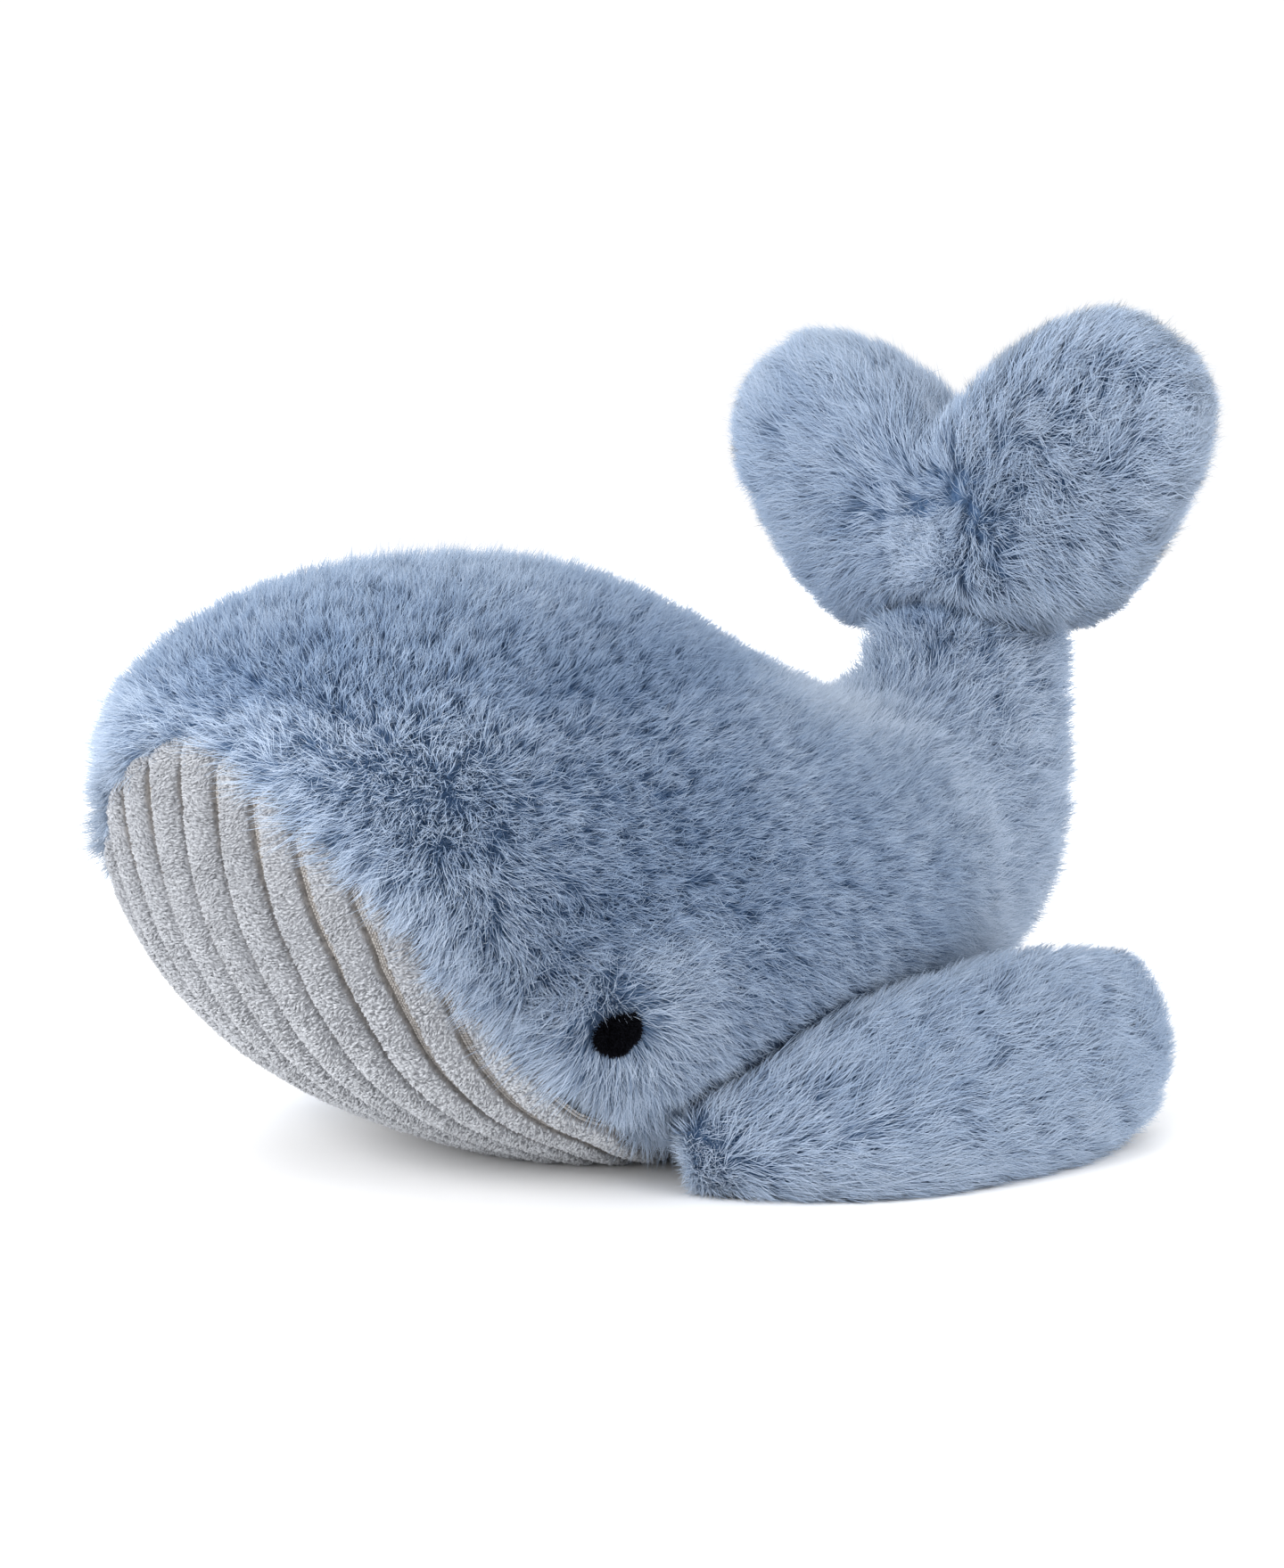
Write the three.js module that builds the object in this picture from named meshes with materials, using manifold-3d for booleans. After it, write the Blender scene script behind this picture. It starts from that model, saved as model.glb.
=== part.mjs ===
// Stuffed whale with a long pile, lying on its belly: nose towards -Y, +X its left side, +Z up.
// Millimetres. The outer surfaces are the tips of the pile, so the sizes are those of the finished toy.
// The pieces are what it is sewn and filled with: two side panels, a ribbed belly panel, a stuffed tail,
// a stuffed two-lobed fluke, two stuffed flippers, two eyes, fibre filling and a pouch of pellets.
import * as THREE from 'three';
import { mergeVertices } from 'three/addons/utils/BufferGeometryUtils.js';
import Module from 'manifold-3d';

const wasm = await Module();
wasm.setup();

// ---------------------------------------------------------------- driving dimensions
const SHIFT_Y = -23.25;        // brings the middle of the length to y = 0
const GAP = 0.35;              // clearance between pieces that touch
const PILE_BODY = 10;          // side panel: backing cloth plus pile
const PILE_TAIL = 10;
const PILE_FLUKE = 8;
const PILE_FLIPPER = 7;
const SECTION_TOP = 2.0;       // roundness of the upper and lower half of each cross-section
const SECTION_LOW = 2.15;

// centre-line profile seen from the side, [y, z], from the nose back: over the back, and under the belly
const BACK = [
  [-172.2, 154.6], [-159.7, 175.4], [-133.6, 192.8], [-93.3, 203.7], [-40.1, 203.2], [11.1, 189.0],
  [62.4, 161.8], [107.6, 145.2], [139.9, 149.0], [148.5, 165.0], [147.0, 181.6], [146.4, 200.2],
];
const BELLY = [
  [-172.2, 154.6], [-174.5, 131.8], [-168.4, 103.6], [-155.3, 67.9], [-122.0, 31.5], [-63.2, 3.0],
  [-0.3, -9.3], [76.4, -2.8], [146.6, 12.7], [204.4, 52.9], [221.1, 104.8], [221.5, 199.8],
];
const HALF_WIDTH = [0, 45.3, 79.1, 101.0, 109.9, 114.1, 107.2, 87.3, 60.7, 47.1, 39.9, 38.6];
const WIDEST = [0.5, 0.5, 0.5, 0.48, 0.45, 0.43, 0.43, 0.45, 0.5, 0.5, 0.5, 0.5]; // height of the widest point
const LAST = BACK.length - 1;

// edge of the ribbed belly panel: angle round the section, from +X (0) down to the keel (-pi/2)
const PANEL_EDGE = [-0.81, -0.70, -0.72, -0.68, -0.74, -0.92, -1.12, -1.30, -1.53];
const PANEL_END = 8.0;

const EYE_T = 4.42, EYE_PHI = -0.482;     // place of the left eye on the side panel
const EYE_RADII = [8.0, 7.2, 5.2];        // across, along, and proud of the cloth

// tail joint: a bow-tie gap round a cross axis in the middle of the tail's root
const TAIL_AXIS = [169.0, 104.5];         // y, z
const TAIL_DIR = [0.6759, -0.7366];       // in the y, z plane, from the saddle down to the rear
const TAIL_WEDGE = 6;                     // degrees on each face, for 12 degrees each way
// fluke joint
const FLUKE_AXIS = [184.0, 163.0];
const FLUKE_ROLL = 4.0;                   // the tail stands slightly twisted, left lobe higher
const FLUKE_WEDGE = 10;                   // degrees on each face, for 20 degrees each way
const FLUKE_HALF_THICK = 27;
const FLUKE_CENTRE = [0, 44];             // x, z above the joint
// right half of the fluke's outline above the joint, from the notch round to the root
const FLUKE_OUTLINE = [
  [0, 78], [17, 90], [44, 106], [73, 112], [97, 104], [112, 91], [118, 74], [113.5, 55], [102, 39],
  [90, 23], [76, 9], [60, -0.5], [40, -3.5], [20, -2], [0, 0],
];

// left flipper: a paddle that lies back along the body and leans on it
const FLIP_LINE = [
  [86, -38, 15], [103, -22, 20], [118, 6, 25], [125, 42, 28], [126, 82, 31], [122, 115, 33], [116, 141, 36], [110, 160, 38],
];
const FLIP_LEAN = [12, 22, 29, 30, 30, 28, 24, 20];     // degrees off the vertical
const FLIP_HALF_WIDTH = [18, 25, 34, 38, 38.5, 34.5, 25, 3];
const FLIP_HALF_THICK = [12, 17, 20, 21, 20, 17, 12, 2];
const FLIP_SECTION = 2.3;
const FLIP_HINGE = [86, -36, 15];                        // a point on the root seam
const FLIP_HINGE_AXIS = [0.4848, 0, -0.8746];            // lifts outwards for a positive turn
const FLIP_SWEEP = [0, 12, 24, 36, 48, 60];              // degrees

// pouch of pellets low in the body
const POUCH = { y: 22, z: 12.5, a: 42, b: 54, wall: 8, height: 34, cloth: 1.6 };

// ---------------------------------------------------------------- curves and solids
function naturalSpline(v) {
  const n = v.length;
  const c = new Array(n).fill(0), mu = [0], z = [0], b = [], d = [];
  for (let i = 1; i < n - 1; i++) {
    const l = 4 - mu[i - 1];
    mu[i] = 1 / l;
    z[i] = (3 * (v[i + 1] - 2 * v[i] + v[i - 1]) - z[i - 1]) / l;
  }
  for (let j = n - 2; j >= 0; j--) {
    c[j] = j === 0 ? 0 : z[j] - mu[j] * c[j + 1];
    b[j] = v[j + 1] - v[j] - (c[j + 1] + 2 * c[j]) / 3;
    d[j] = (c[j + 1] - c[j]) / 3;
  }
  return (t) => {
    const i = Math.max(0, Math.min(n - 2, Math.floor(t)));
    const u = t - i;
    return v[i] + u * (b[i] + u * (c[i] + u * d[i]));
  };
}

const profile = [...BELLY.slice(1).reverse(), ...BACK];
const profileY = naturalSpline(profile.map((p) => p[0]));
const profileZ = naturalSpline(profile.map((p) => p[1]));
const widthAt = naturalSpline([...HALF_WIDTH.slice(1).reverse().map((w) => -w), ...HALF_WIDTH]);
const widestAt = naturalSpline(WIDEST);
const panelEdge = naturalSpline(PANEL_EDGE);

const signedPower = (x, p) => Math.sign(x) * Math.abs(x) ** p;

function bodyMiddle(t) {
  const ty = profileY(LAST + t), tz = profileZ(LAST + t);
  const by = profileY(LAST - t), bz = profileZ(LAST - t);
  const m = widestAt(t);
  return { ty, tz, by, bz, my: by + (ty - by) * m, mz: bz + (tz - bz) * m, w: Math.abs(widthAt(LAST + t)) };
}

function bodyPoint(t, phi) {
  const s = bodyMiddle(t);
  const c = Math.cos(phi), q = Math.sin(phi);
  const e = 2 / (q > 0 ? SECTION_TOP : SECTION_LOW);
  const k = Math.abs(q) ** e;
  const far = q > 0 ? [s.ty, s.tz] : [s.by, s.bz];
  return new THREE.Vector3(signedPower(c, e) * s.w, s.my + (far[0] - s.my) * k, s.mz + (far[1] - s.mz) * k);
}

function bodyNormal(t, phi) {
  const h = 0.02;
  const t0 = Math.max(0.05, t - h), t1 = Math.min(LAST, t + h);
  const a = bodyPoint(t1, phi).sub(bodyPoint(t0, phi));
  const b = bodyPoint(t, phi + h).sub(bodyPoint(t, phi - h));
  return a.cross(b).normalize();
}

// closed solid through rings of equally many points; each end closes on a pole
function loft(rings, startPole, endPole) {
  const n = rings[0].length, points = [startPole, ...rings.flat(), endPole], index = [];
  const at = (i, j) => 1 + i * n + (j % n);
  const lastPoint = points.length - 1;
  for (let j = 0; j < n; j++) {
    index.push(0, at(0, j + 1), at(0, j));
    index.push(lastPoint, at(rings.length - 1, j), at(rings.length - 1, j + 1));
  }
  for (let i = 0; i < rings.length - 1; i++) {
    for (let j = 0; j < n; j++) {
      index.push(at(i, j), at(i, j + 1), at(i + 1, j));
      index.push(at(i + 1, j), at(i, j + 1), at(i + 1, j + 1));
    }
  }
  const geometry = new THREE.BufferGeometry();
  geometry.setAttribute('position', new THREE.Float32BufferAttribute(points.flatMap((p) => [p.x, p.y, p.z]), 3));
  geometry.setIndex(index);
  return geometry;
}

function signedVolume(geometry) {
  const p = geometry.attributes.position, i = geometry.index;
  const a = new THREE.Vector3(), b = new THREE.Vector3(), c = new THREE.Vector3();
  let v = 0;
  for (let k = 0; k < i.count; k += 3) {
    a.fromBufferAttribute(p, i.getX(k));
    b.fromBufferAttribute(p, i.getX(k + 1));
    c.fromBufferAttribute(p, i.getX(k + 2));
    v += a.dot(b.cross(c)) / 6;
  }
  return v;
}

function solid(geometry) {
  const g = geometry.clone();
  g.deleteAttribute('normal');
  g.deleteAttribute('uv');
  let merged = mergeVertices(g, 1e-4);
  if (signedVolume(merged) < 0) {
    const idx = Array.from(merged.index.array);
    for (let k = 0; k < idx.length; k += 3) [idx[k + 1], idx[k + 2]] = [idx[k + 2], idx[k + 1]];
    merged.setIndex(idx);
  }
  const made = new wasm.Manifold(new wasm.Mesh({
    numProp: 3,
    vertProperties: new Float32Array(merged.attributes.position.array),
    triVerts: new Uint32Array(merged.index.array),
  }));
  return made;
}

function box(x0, x1, y0, y1, z0, z1) {
  const g = new THREE.BoxGeometry(x1 - x0, y1 - y0, z1 - z0);
  g.translate((x0 + x1) / 2, (y0 + y1) / 2, (z0 + z1) / 2);
  return solid(g);
}

// prism of a [y, z] polygon between two x values, turned and moved by an optional matrix
function sidePrism(points, x0, x1, matrix) {
  const shape = new THREE.Shape(points.map((p) => new THREE.Vector2(p[0], p[1])));
  const g = new THREE.ExtrudeGeometry(shape, { depth: x1 - x0, bevelEnabled: false });
  g.applyMatrix4(new THREE.Matrix4().makeBasis(
    new THREE.Vector3(0, 1, 0), new THREE.Vector3(0, 0, 1), new THREE.Vector3(1, 0, 0)));
  g.translate(x0, 0, 0);
  if (matrix) g.applyMatrix4(matrix);
  return solid(g);
}

// ---------------------------------------------------------------- body and tail envelope
const RINGS = [0.25, 0.7, 1.2, 1.8, 2.4, 3, 3.6, 4.3, 5, 5.7, 6.4, 7.1, 7.6, 8.1, 8.6, 9.2, 10, 11];
const AROUND = 28;
const RINGS_IN = [0.3, 1, 1.8, 2.7, 3.6, 4.6, 5.6, 6.6, 7.4, 8.1, 8.9, 10, 11];
const AROUND_IN = 20;

function bodySolid(offset, rings, around, floor = null) {
  const made = rings.map((t) => Array.from({ length: around }, (_, j) => {
    const phi = -Math.PI / 2 + (2 * Math.PI * j) / around;
    return bodyPoint(t, phi).addScaledVector(bodyNormal(t, phi), offset);
  }));
  const nose = new THREE.Vector3(0, BACK[0][0] - offset, BACK[0][1]);
  const s = bodyMiddle(LAST);
  const s1 = solid(loft(made, nose, new THREE.Vector3(0, s.my, s.mz)));
  return floor === null ? s1 : s1.intersect(box(-300, 300, -400, 400, floor, 500));
}

const outer = bodySolid(0, RINGS, AROUND, 0);
const inner = bodySolid(-PILE_BODY, RINGS_IN, AROUND_IN, PILE_BODY);
const filling = bodySolid(-PILE_BODY - GAP, RINGS_IN, AROUND_IN, PILE_BODY + GAP);
const casing = outer.subtract(inner);

// the two sides of the tail joint
const [ay, az] = TAIL_AXIS, [ey, ez] = TAIL_DIR;
const [ny, nz] = [-ez, ey];               // towards the tail
function tailSide(sign, gap) {
  const slope = Math.tan(THREE.MathUtils.degToRad(TAIL_WEDGE)), L = 450, D = 700;
  const at = (q, s) => [ay + q * ey + s * ny, az + q * ez + s * nz];
  return sidePrism([at(0, sign * gap), at(L, sign * (gap + L * slope)), at(L, sign * D), at(-L, sign * D),
    at(-L, sign * (gap + L * slope))], -300, 300);
}
const bodyRegion = tailSide(-1, GAP / 2);
const tailRegion = tailSide(1, GAP / 2);

const flukeFrame = new THREE.Matrix4().makeTranslation(0, FLUKE_AXIS[0], FLUKE_AXIS[1])
  .multiply(new THREE.Matrix4().makeRotationY(THREE.MathUtils.degToRad(-FLUKE_ROLL)));
function flukeSide(sign, gap, x0, x1, below = false) {
  const slope = Math.tan(THREE.MathUtils.degToRad(FLUKE_WEDGE)), L = 150, D = below ? -200 : 300;
  return sidePrism([[0, sign * gap], [L, sign * (gap + L * slope)], [L, sign * D], [-L, sign * D],
    [-L, sign * (gap + L * slope)]], x0, x1, flukeFrame);
}
const stalkRegion = flukeSide(-1, GAP / 2, -250, 250);

// ---------------------------------------------------------------- belly panel
// wedge of space below the panel's two edges; narrow > 0 makes it smaller
function panelWedge(narrow, drop) {
  const steps = 8, rings = [];
  const ts = [0.15, 0.6, 1.2, 1.9, 2.6, 3.3, 4, 4.7, 5.4, 6.1, 6.8, 7.4, PANEL_END - 0.05];
  for (const t of ts) {
    const s = bodyMiddle(t);
    const slack = narrow / Math.max(s.w, 14);
    const edge = Math.min(panelEdge(t), -0.2) - slack;
    const ring = [new THREE.Vector3(0, s.my, s.mz - drop)];
    for (let k = 0; k <= steps; k++) {
      const phi = edge + ((-Math.PI - edge) - edge) * (k / steps);
      const p = bodyPoint(t, phi), m = new THREE.Vector3(0, s.my, s.mz);
      const out = p.clone().sub(m).multiplyScalar(1.2).add(m);
      out.addScaledVector(bodyNormal(t, phi), 6);
      out.y -= 5 * Math.exp(-t);
      ring.push(out);
    }
    rings.push(ring);
  }
  const s0 = bodyMiddle(0.05), s1 = bodyMiddle(PANEL_END);
  const front = new THREE.Vector3(0, s0.my - 14, s0.mz - drop);
  const rear = new THREE.Vector3(0, s1.by, s1.bz - 20);
  return solid(loft(rings, front, rear));
}
const casingBody = casing.intersect(bodyRegion);
const bellyPanel = casingBody.intersect(panelWedge(GAP / 2, GAP));
const eyeAt = bodyPoint(EYE_T, EYE_PHI), eyeNormal = bodyNormal(EYE_T, EYE_PHI);
function eyeSolid(side, grow) {
  const g = new THREE.SphereGeometry(1, 14, 8);
  g.scale(EYE_RADII[0] + grow, EYE_RADII[1] + grow, EYE_RADII[2] + grow);
  const along = new THREE.Vector3(0, 1, 0).addScaledVector(eyeNormal, -eyeNormal.y).normalize();
  const across = new THREE.Vector3().crossVectors(along, eyeNormal);
  const m = new THREE.Matrix4().makeBasis(across, along, eyeNormal).setPosition(
    eyeAt.clone().addScaledVector(eyeNormal, -2.5));
  g.applyMatrix4(m);
  if (side < 0) g.applyMatrix4(new THREE.Matrix4().makeScale(-1, 1, 1));
  return solid(g);
}
const sides = casingBody.subtract(panelWedge(-GAP / 2, 0));
const leftHalf = box(GAP / 2, 300, -400, 400, -50, 500), rightHalf = box(-300, -GAP / 2, -400, 400, -50, 500);
const shellLeft = sides.intersect(leftHalf).subtract(eyeSolid(1, GAP));
const shellRight = sides.intersect(rightHalf).subtract(eyeSolid(-1, GAP));

// ---------------------------------------------------------------- filling and pellet pouch
function pouchSolid(shrink, grow = 0, down = 0) {
  const { y, z, a, b, wall, height } = POUCH;
  const rings = [], n = 20;
  const ringAt = (k, h) => Array.from({ length: n }, (_, j) => {
    const f = (2 * Math.PI * j) / n;
    const e = 2 / 2.4;
    return new THREE.Vector3(signedPower(Math.cos(f), e) * (a - shrink + grow) * k,
      y + signedPower(Math.sin(f), e) * (b - shrink + grow) * k, h);
  });
  const low = z + shrink - grow - down, top = z + height - shrink + grow;
  rings.push(ringAt(1, low), ringAt(1, z + wall));
  for (const u of [0.4, 0.7, 0.9]) {
    rings.push(ringAt(Math.sqrt(1 - u * u), z + wall + (top - z - wall) * u));
  }
  return solid(loft(rings, new THREE.Vector3(0, y, low), new THREE.Vector3(0, y, top)));
}
const pouchShell = pouchSolid(0).subtract(pouchSolid(POUCH.cloth));
const pouchSplit = POUCH.z + POUCH.wall;
const pouchLower = pouchShell.intersect(box(-200, 200, -200, 200, 0, pouchSplit - GAP / 2));
const pouchUpper = pouchShell.intersect(box(-200, 200, -200, 200, pouchSplit + GAP / 2, 200));
const pellets = pouchSolid(POUCH.cloth + GAP);
const bodyFilling = filling.intersect(bodyRegion).subtract(pouchSolid(0, GAP, 8));

// ---------------------------------------------------------------- tail
const tailCasing = casing.intersect(tailRegion).intersect(stalkRegion);
const tailLeft = tailCasing.intersect(leftHalf), tailRight = tailCasing.intersect(rightHalf);
const tailFilling = filling.intersect(tailRegion).intersect(stalkRegion);

// ---------------------------------------------------------------- fluke
const outlineRight = FLUKE_OUTLINE.map((p) => new THREE.Vector3(p[0], 0, p[1]));
const outlineLeft = FLUKE_OUTLINE.slice(1, -1).reverse().map((p) => new THREE.Vector3(-p[0], 0, p[1]));
const flukeCurve = new THREE.CatmullRomCurve3([...outlineRight, ...outlineLeft], true, 'catmullrom', 0.5);
function flukeSolid(shrink) {
  const n = shrink ? 28 : 40, outline = Array.from({ length: n }, (_, j) => flukeCurve.getPoint(j / n));
  const rings = [], H = FLUKE_HALF_THICK - shrink;
  const ring = (r, y) => outline.map((q) => {
    const d = new THREE.Vector3(q.x - FLUKE_CENTRE[0], 0, q.z - FLUKE_CENTRE[1]);
    const len = d.length(), keep = Math.max(0, len - shrink * (len > 60 ? 1 : 1.15)) / len;
    return new THREE.Vector3(FLUKE_CENTRE[0] + d.x * keep * r, y, FLUKE_CENTRE[1] + d.z * keep * r);
  });
  const rs = shrink ? [0.6, 0.88] : [0.45, 0.75, 0.93];
  for (const r of rs) rings.push(ring(r, -H * Math.sqrt(1 - r ** 2.8)));
  rings.push(ring(1, 0));
  for (const r of [...rs].reverse()) rings.push(ring(r, H * Math.sqrt(1 - r ** 2.8)));
  const g = loft(rings, new THREE.Vector3(0, -H, FLUKE_CENTRE[1]), new THREE.Vector3(0, H, FLUKE_CENTRE[1]));
  g.applyMatrix4(flukeFrame);
  return solid(g);
}
const rootCut = (() => {
  const slope = Math.tan(THREE.MathUtils.degToRad(FLUKE_WEDGE)), L = 150, g = GAP / 2;
  return sidePrism([[0, g], [L, g + L * slope], [L, -120], [-L, -120], [-L, g + L * slope]], -43, 43, flukeFrame);
})();
const flukeCasing = flukeSolid(0).subtract(flukeSolid(PILE_FLUKE)).subtract(rootCut);
const flukeHalf = (y0, y1) => {
  const g = new THREE.BoxGeometry(400, y1 - y0, 400);
  g.translate(0, (y0 + y1) / 2, 0);
  g.applyMatrix4(flukeFrame);
  return solid(g);
};
const flukeFront = flukeCasing.intersect(flukeHalf(-100, -GAP / 2));
const flukeBack = flukeCasing.intersect(flukeHalf(GAP / 2, 100));
const flukeFilling = flukeSolid(PILE_FLUKE + GAP).subtract(rootCut);

// ---------------------------------------------------------------- flippers
const flipX = naturalSpline(FLIP_LINE.map((p) => p[0]));
const flipY = naturalSpline(FLIP_LINE.map((p) => p[1]));
const flipZ = naturalSpline(FLIP_LINE.map((p) => p[2]));
const flipLean = naturalSpline(FLIP_LEAN);
const flipWide = naturalSpline(FLIP_HALF_WIDTH);
const flipThick = naturalSpline(FLIP_HALF_THICK);
const FLIP_LAST = FLIP_LINE.length - 1;

function flipFrame(t) {
  const c = new THREE.Vector3(flipX(t), flipY(t), flipZ(t));
  const h = 0.01;
  const d = new THREE.Vector3(flipX(t + h) - flipX(t - h), flipY(t + h) - flipY(t - h), flipZ(t + h) - flipZ(t - h)).normalize();
  const l = THREE.MathUtils.degToRad(flipLean(t));
  const w = new THREE.Vector3(-Math.sin(l), 0, Math.cos(l));
  w.addScaledVector(d, -w.dot(d)).normalize();
  const n = new THREE.Vector3().crossVectors(d, w);     // away from the body
  return { c, d, w, n };
}

function flipperSolid(shrink, floor, slack = 0) {
  const rings = [], around = shrink > 0 ? 12 : 18;
  const ts = shrink > 0 ? [...(slack > 0 ? [] : [-0.25]), 0.03, 1, 2, 3.2, 4.4, 5.4, 6.1, 6.35] : [0, 0.9, 1.8, 2.8, 3.8, 4.8, 5.6, 6.2, 6.6, 6.9];
  for (const t of ts) {
    const f = flipFrame(t);
    const a = Math.max(2, flipWide(t) - shrink) - slack, h = Math.max(1.2, flipThick(t) - shrink) - slack;
    rings.push(Array.from({ length: around }, (_, j) => {
      const p = (2 * Math.PI * j) / around, e = 2 / FLIP_SECTION;
      return f.c.clone().addScaledVector(f.w, a * signedPower(Math.cos(p), e))
        .addScaledVector(f.n, h * signedPower(Math.sin(p), e));
    }));
  }
  const f0 = flipFrame(ts[0]), f1 = flipFrame(ts[ts.length - 1]);
  const s = solid(loft(rings, f0.c, f1.c.clone().addScaledVector(f1.d, (shrink > 0 ? 2 : 1) - slack)));
  return s.intersect(box(-300, 300, -400, 400, floor, 400));
}

// space on the outer side (+1) or the body side (-1) of the flipper's middle surface
function flipperSide(sign) {
  const ts = [-0.6, 0, 1, 2, 3, 4, 5, 6, 7, 7.6], R = 90;
  const rings = ts.map((t) => {
    const f = flipFrame(Math.max(0, Math.min(FLIP_LAST, t)));
    const c = f.c.clone().addScaledVector(f.d, t < 0 ? -40 : t > FLIP_LAST ? 40 : 0);
    const p = (u, v) => c.clone().addScaledVector(f.w, u * R).addScaledVector(f.n, sign * v);
    return [p(-1, GAP / 2), p(1, GAP / 2), p(1, 50), p(-1, 50)];
  });
  const mid = (r) => r.reduce((s, p) => s.add(p), new THREE.Vector3()).multiplyScalar(0.25);
  return solid(loft(rings, mid(rings[0]), mid(rings[rings.length - 1])));
}

// room that the body takes up as the flipper turns about its root seam
const coarse = bodySolid(2.4, [0.3, 1.5, 2.7, 3.4, 4, 4.6, 5.2, 5.8, 6.5, 7.3, 8], 26);
const hinge = new THREE.Vector3(...FLIP_HINGE), hingeAxis = new THREE.Vector3(...FLIP_HINGE_AXIS).normalize();
function bodyRoom() {
  let room = null;
  for (const deg of FLIP_SWEEP) {
    const m = new THREE.Matrix4().makeTranslation(hinge)
      .multiply(new THREE.Matrix4().makeRotationAxis(hingeAxis, THREE.MathUtils.degToRad(-deg)))
      .multiply(new THREE.Matrix4().makeTranslation(hinge.clone().negate()));
    const turned = coarse.transform(m.elements);
    room = room ? room.add(turned) : turned;
  }
  return room;
}
const room = bodyRoom();
const flipCasing = flipperSolid(0, 0).subtract(flipperSolid(PILE_FLIPPER, PILE_FLIPPER)).subtract(room);
const flipOuter = flipCasing.intersect(flipperSide(1));
const flipInner = flipCasing.intersect(flipperSide(-1));
const flipFilling = flipperSolid(PILE_FLIPPER, PILE_FLIPPER + GAP, GAP).subtract(room);

// ---------------------------------------------------------------- meshes
const FUR = { color: 0x8296b2, roughness: 0.95, metalness: 0 };
const FUR_DEEP = { color: 0x667c9c, roughness: 0.95, metalness: 0 };
const PANEL = { color: 0xb4b8be, roughness: 0.95, metalness: 0 };
const FIBRE = { color: 0xf1efe9, roughness: 1, metalness: 0 };
const CLOTH = { color: 0xd9d5cc, roughness: 0.95, metalness: 0 };
const PELLET = { color: 0xe9e9ea, roughness: 0.5, metalness: 0 };
const BLACK = { color: 0x0a0a0c, roughness: 0.9, metalness: 0 };

const group = new THREE.Group();
const whale = new THREE.Group();
whale.position.y = SHIFT_Y;
group.add(whale);

function largestBody(manifold) {
  const parts = manifold.decompose();
  return parts.reduce((a, b) => (Math.abs(b.volume()) > Math.abs(a.volume()) ? b : a));
}

function add(parent, name, manifold, look, mirror = false) {
  const body = largestBody(manifold);
  const m = body.getMesh();
  let geometry = new THREE.BufferGeometry();
  const v = new Float32Array(m.numVert * 3);
  for (let i = 0; i < m.numVert; i++) {
    for (let k = 0; k < 3; k++) v[i * 3 + k] = m.vertProperties[i * m.numProp + k];
  }
  const idx = Array.from(m.triVerts);
  if (mirror) {
    for (let i = 0; i < v.length; i += 3) v[i] = -v[i];
    for (let i = 0; i < idx.length; i += 3) [idx[i + 1], idx[i + 2]] = [idx[i + 2], idx[i + 1]];
  }
  geometry.setAttribute('position', new THREE.BufferAttribute(v, 3));
  geometry.setIndex(idx);
  geometry.computeVertexNormals();
  const mesh = new THREE.Mesh(geometry, new THREE.MeshStandardMaterial(look));
  mesh.name = name;
  parent.add(mesh);
}

const bodyGroup = new THREE.Group();
whale.add(bodyGroup);
add(bodyGroup, 'body_shell_left', shellLeft, FUR);
add(bodyGroup, 'body_shell_right', shellRight, FUR);
add(bodyGroup, 'belly_panel', bellyPanel, PANEL);
add(bodyGroup, 'body_stuffing', bodyFilling, FIBRE);
add(bodyGroup, 'pellet_pouch_upper', pouchUpper, CLOTH);
add(bodyGroup, 'pellet_pouch_lower', pouchLower, CLOTH);
add(bodyGroup, 'pellets', pellets, PELLET);
add(bodyGroup, 'eye_left', eyeSolid(1, 0), BLACK);
add(bodyGroup, 'eye_right', eyeSolid(-1, 0), BLACK);

const tailGroup = new THREE.Group();
whale.add(tailGroup);
add(tailGroup, 'tail_shell_left', tailLeft, FUR);
add(tailGroup, 'tail_shell_right', tailRight, FUR);
add(tailGroup, 'tail_stuffing', tailFilling, FIBRE);

const flukeGroup = new THREE.Group();
tailGroup.add(flukeGroup);
add(flukeGroup, 'fluke_front_panel', flukeFront, FUR);
add(flukeGroup, 'fluke_back_panel', flukeBack, FUR_DEEP);
add(flukeGroup, 'fluke_stuffing', flukeFilling, FIBRE);

for (const side of ['left', 'right']) {
  const flipper = new THREE.Group();
  whale.add(flipper);
  const mirror = side === 'right';
  add(flipper, `${side}_flipper_outer_panel`, flipOuter, FUR, mirror);
  add(flipper, `${side}_flipper_inner_panel`, flipInner, FUR_DEEP, mirror);
  add(flipper, `${side}_flipper_stuffing`, flipFilling, FIBRE, mirror);
}

export default group;
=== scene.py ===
import math

import bpy
import numpy as np
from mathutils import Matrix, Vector
from mathutils.bvhtree import BVHTree


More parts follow.
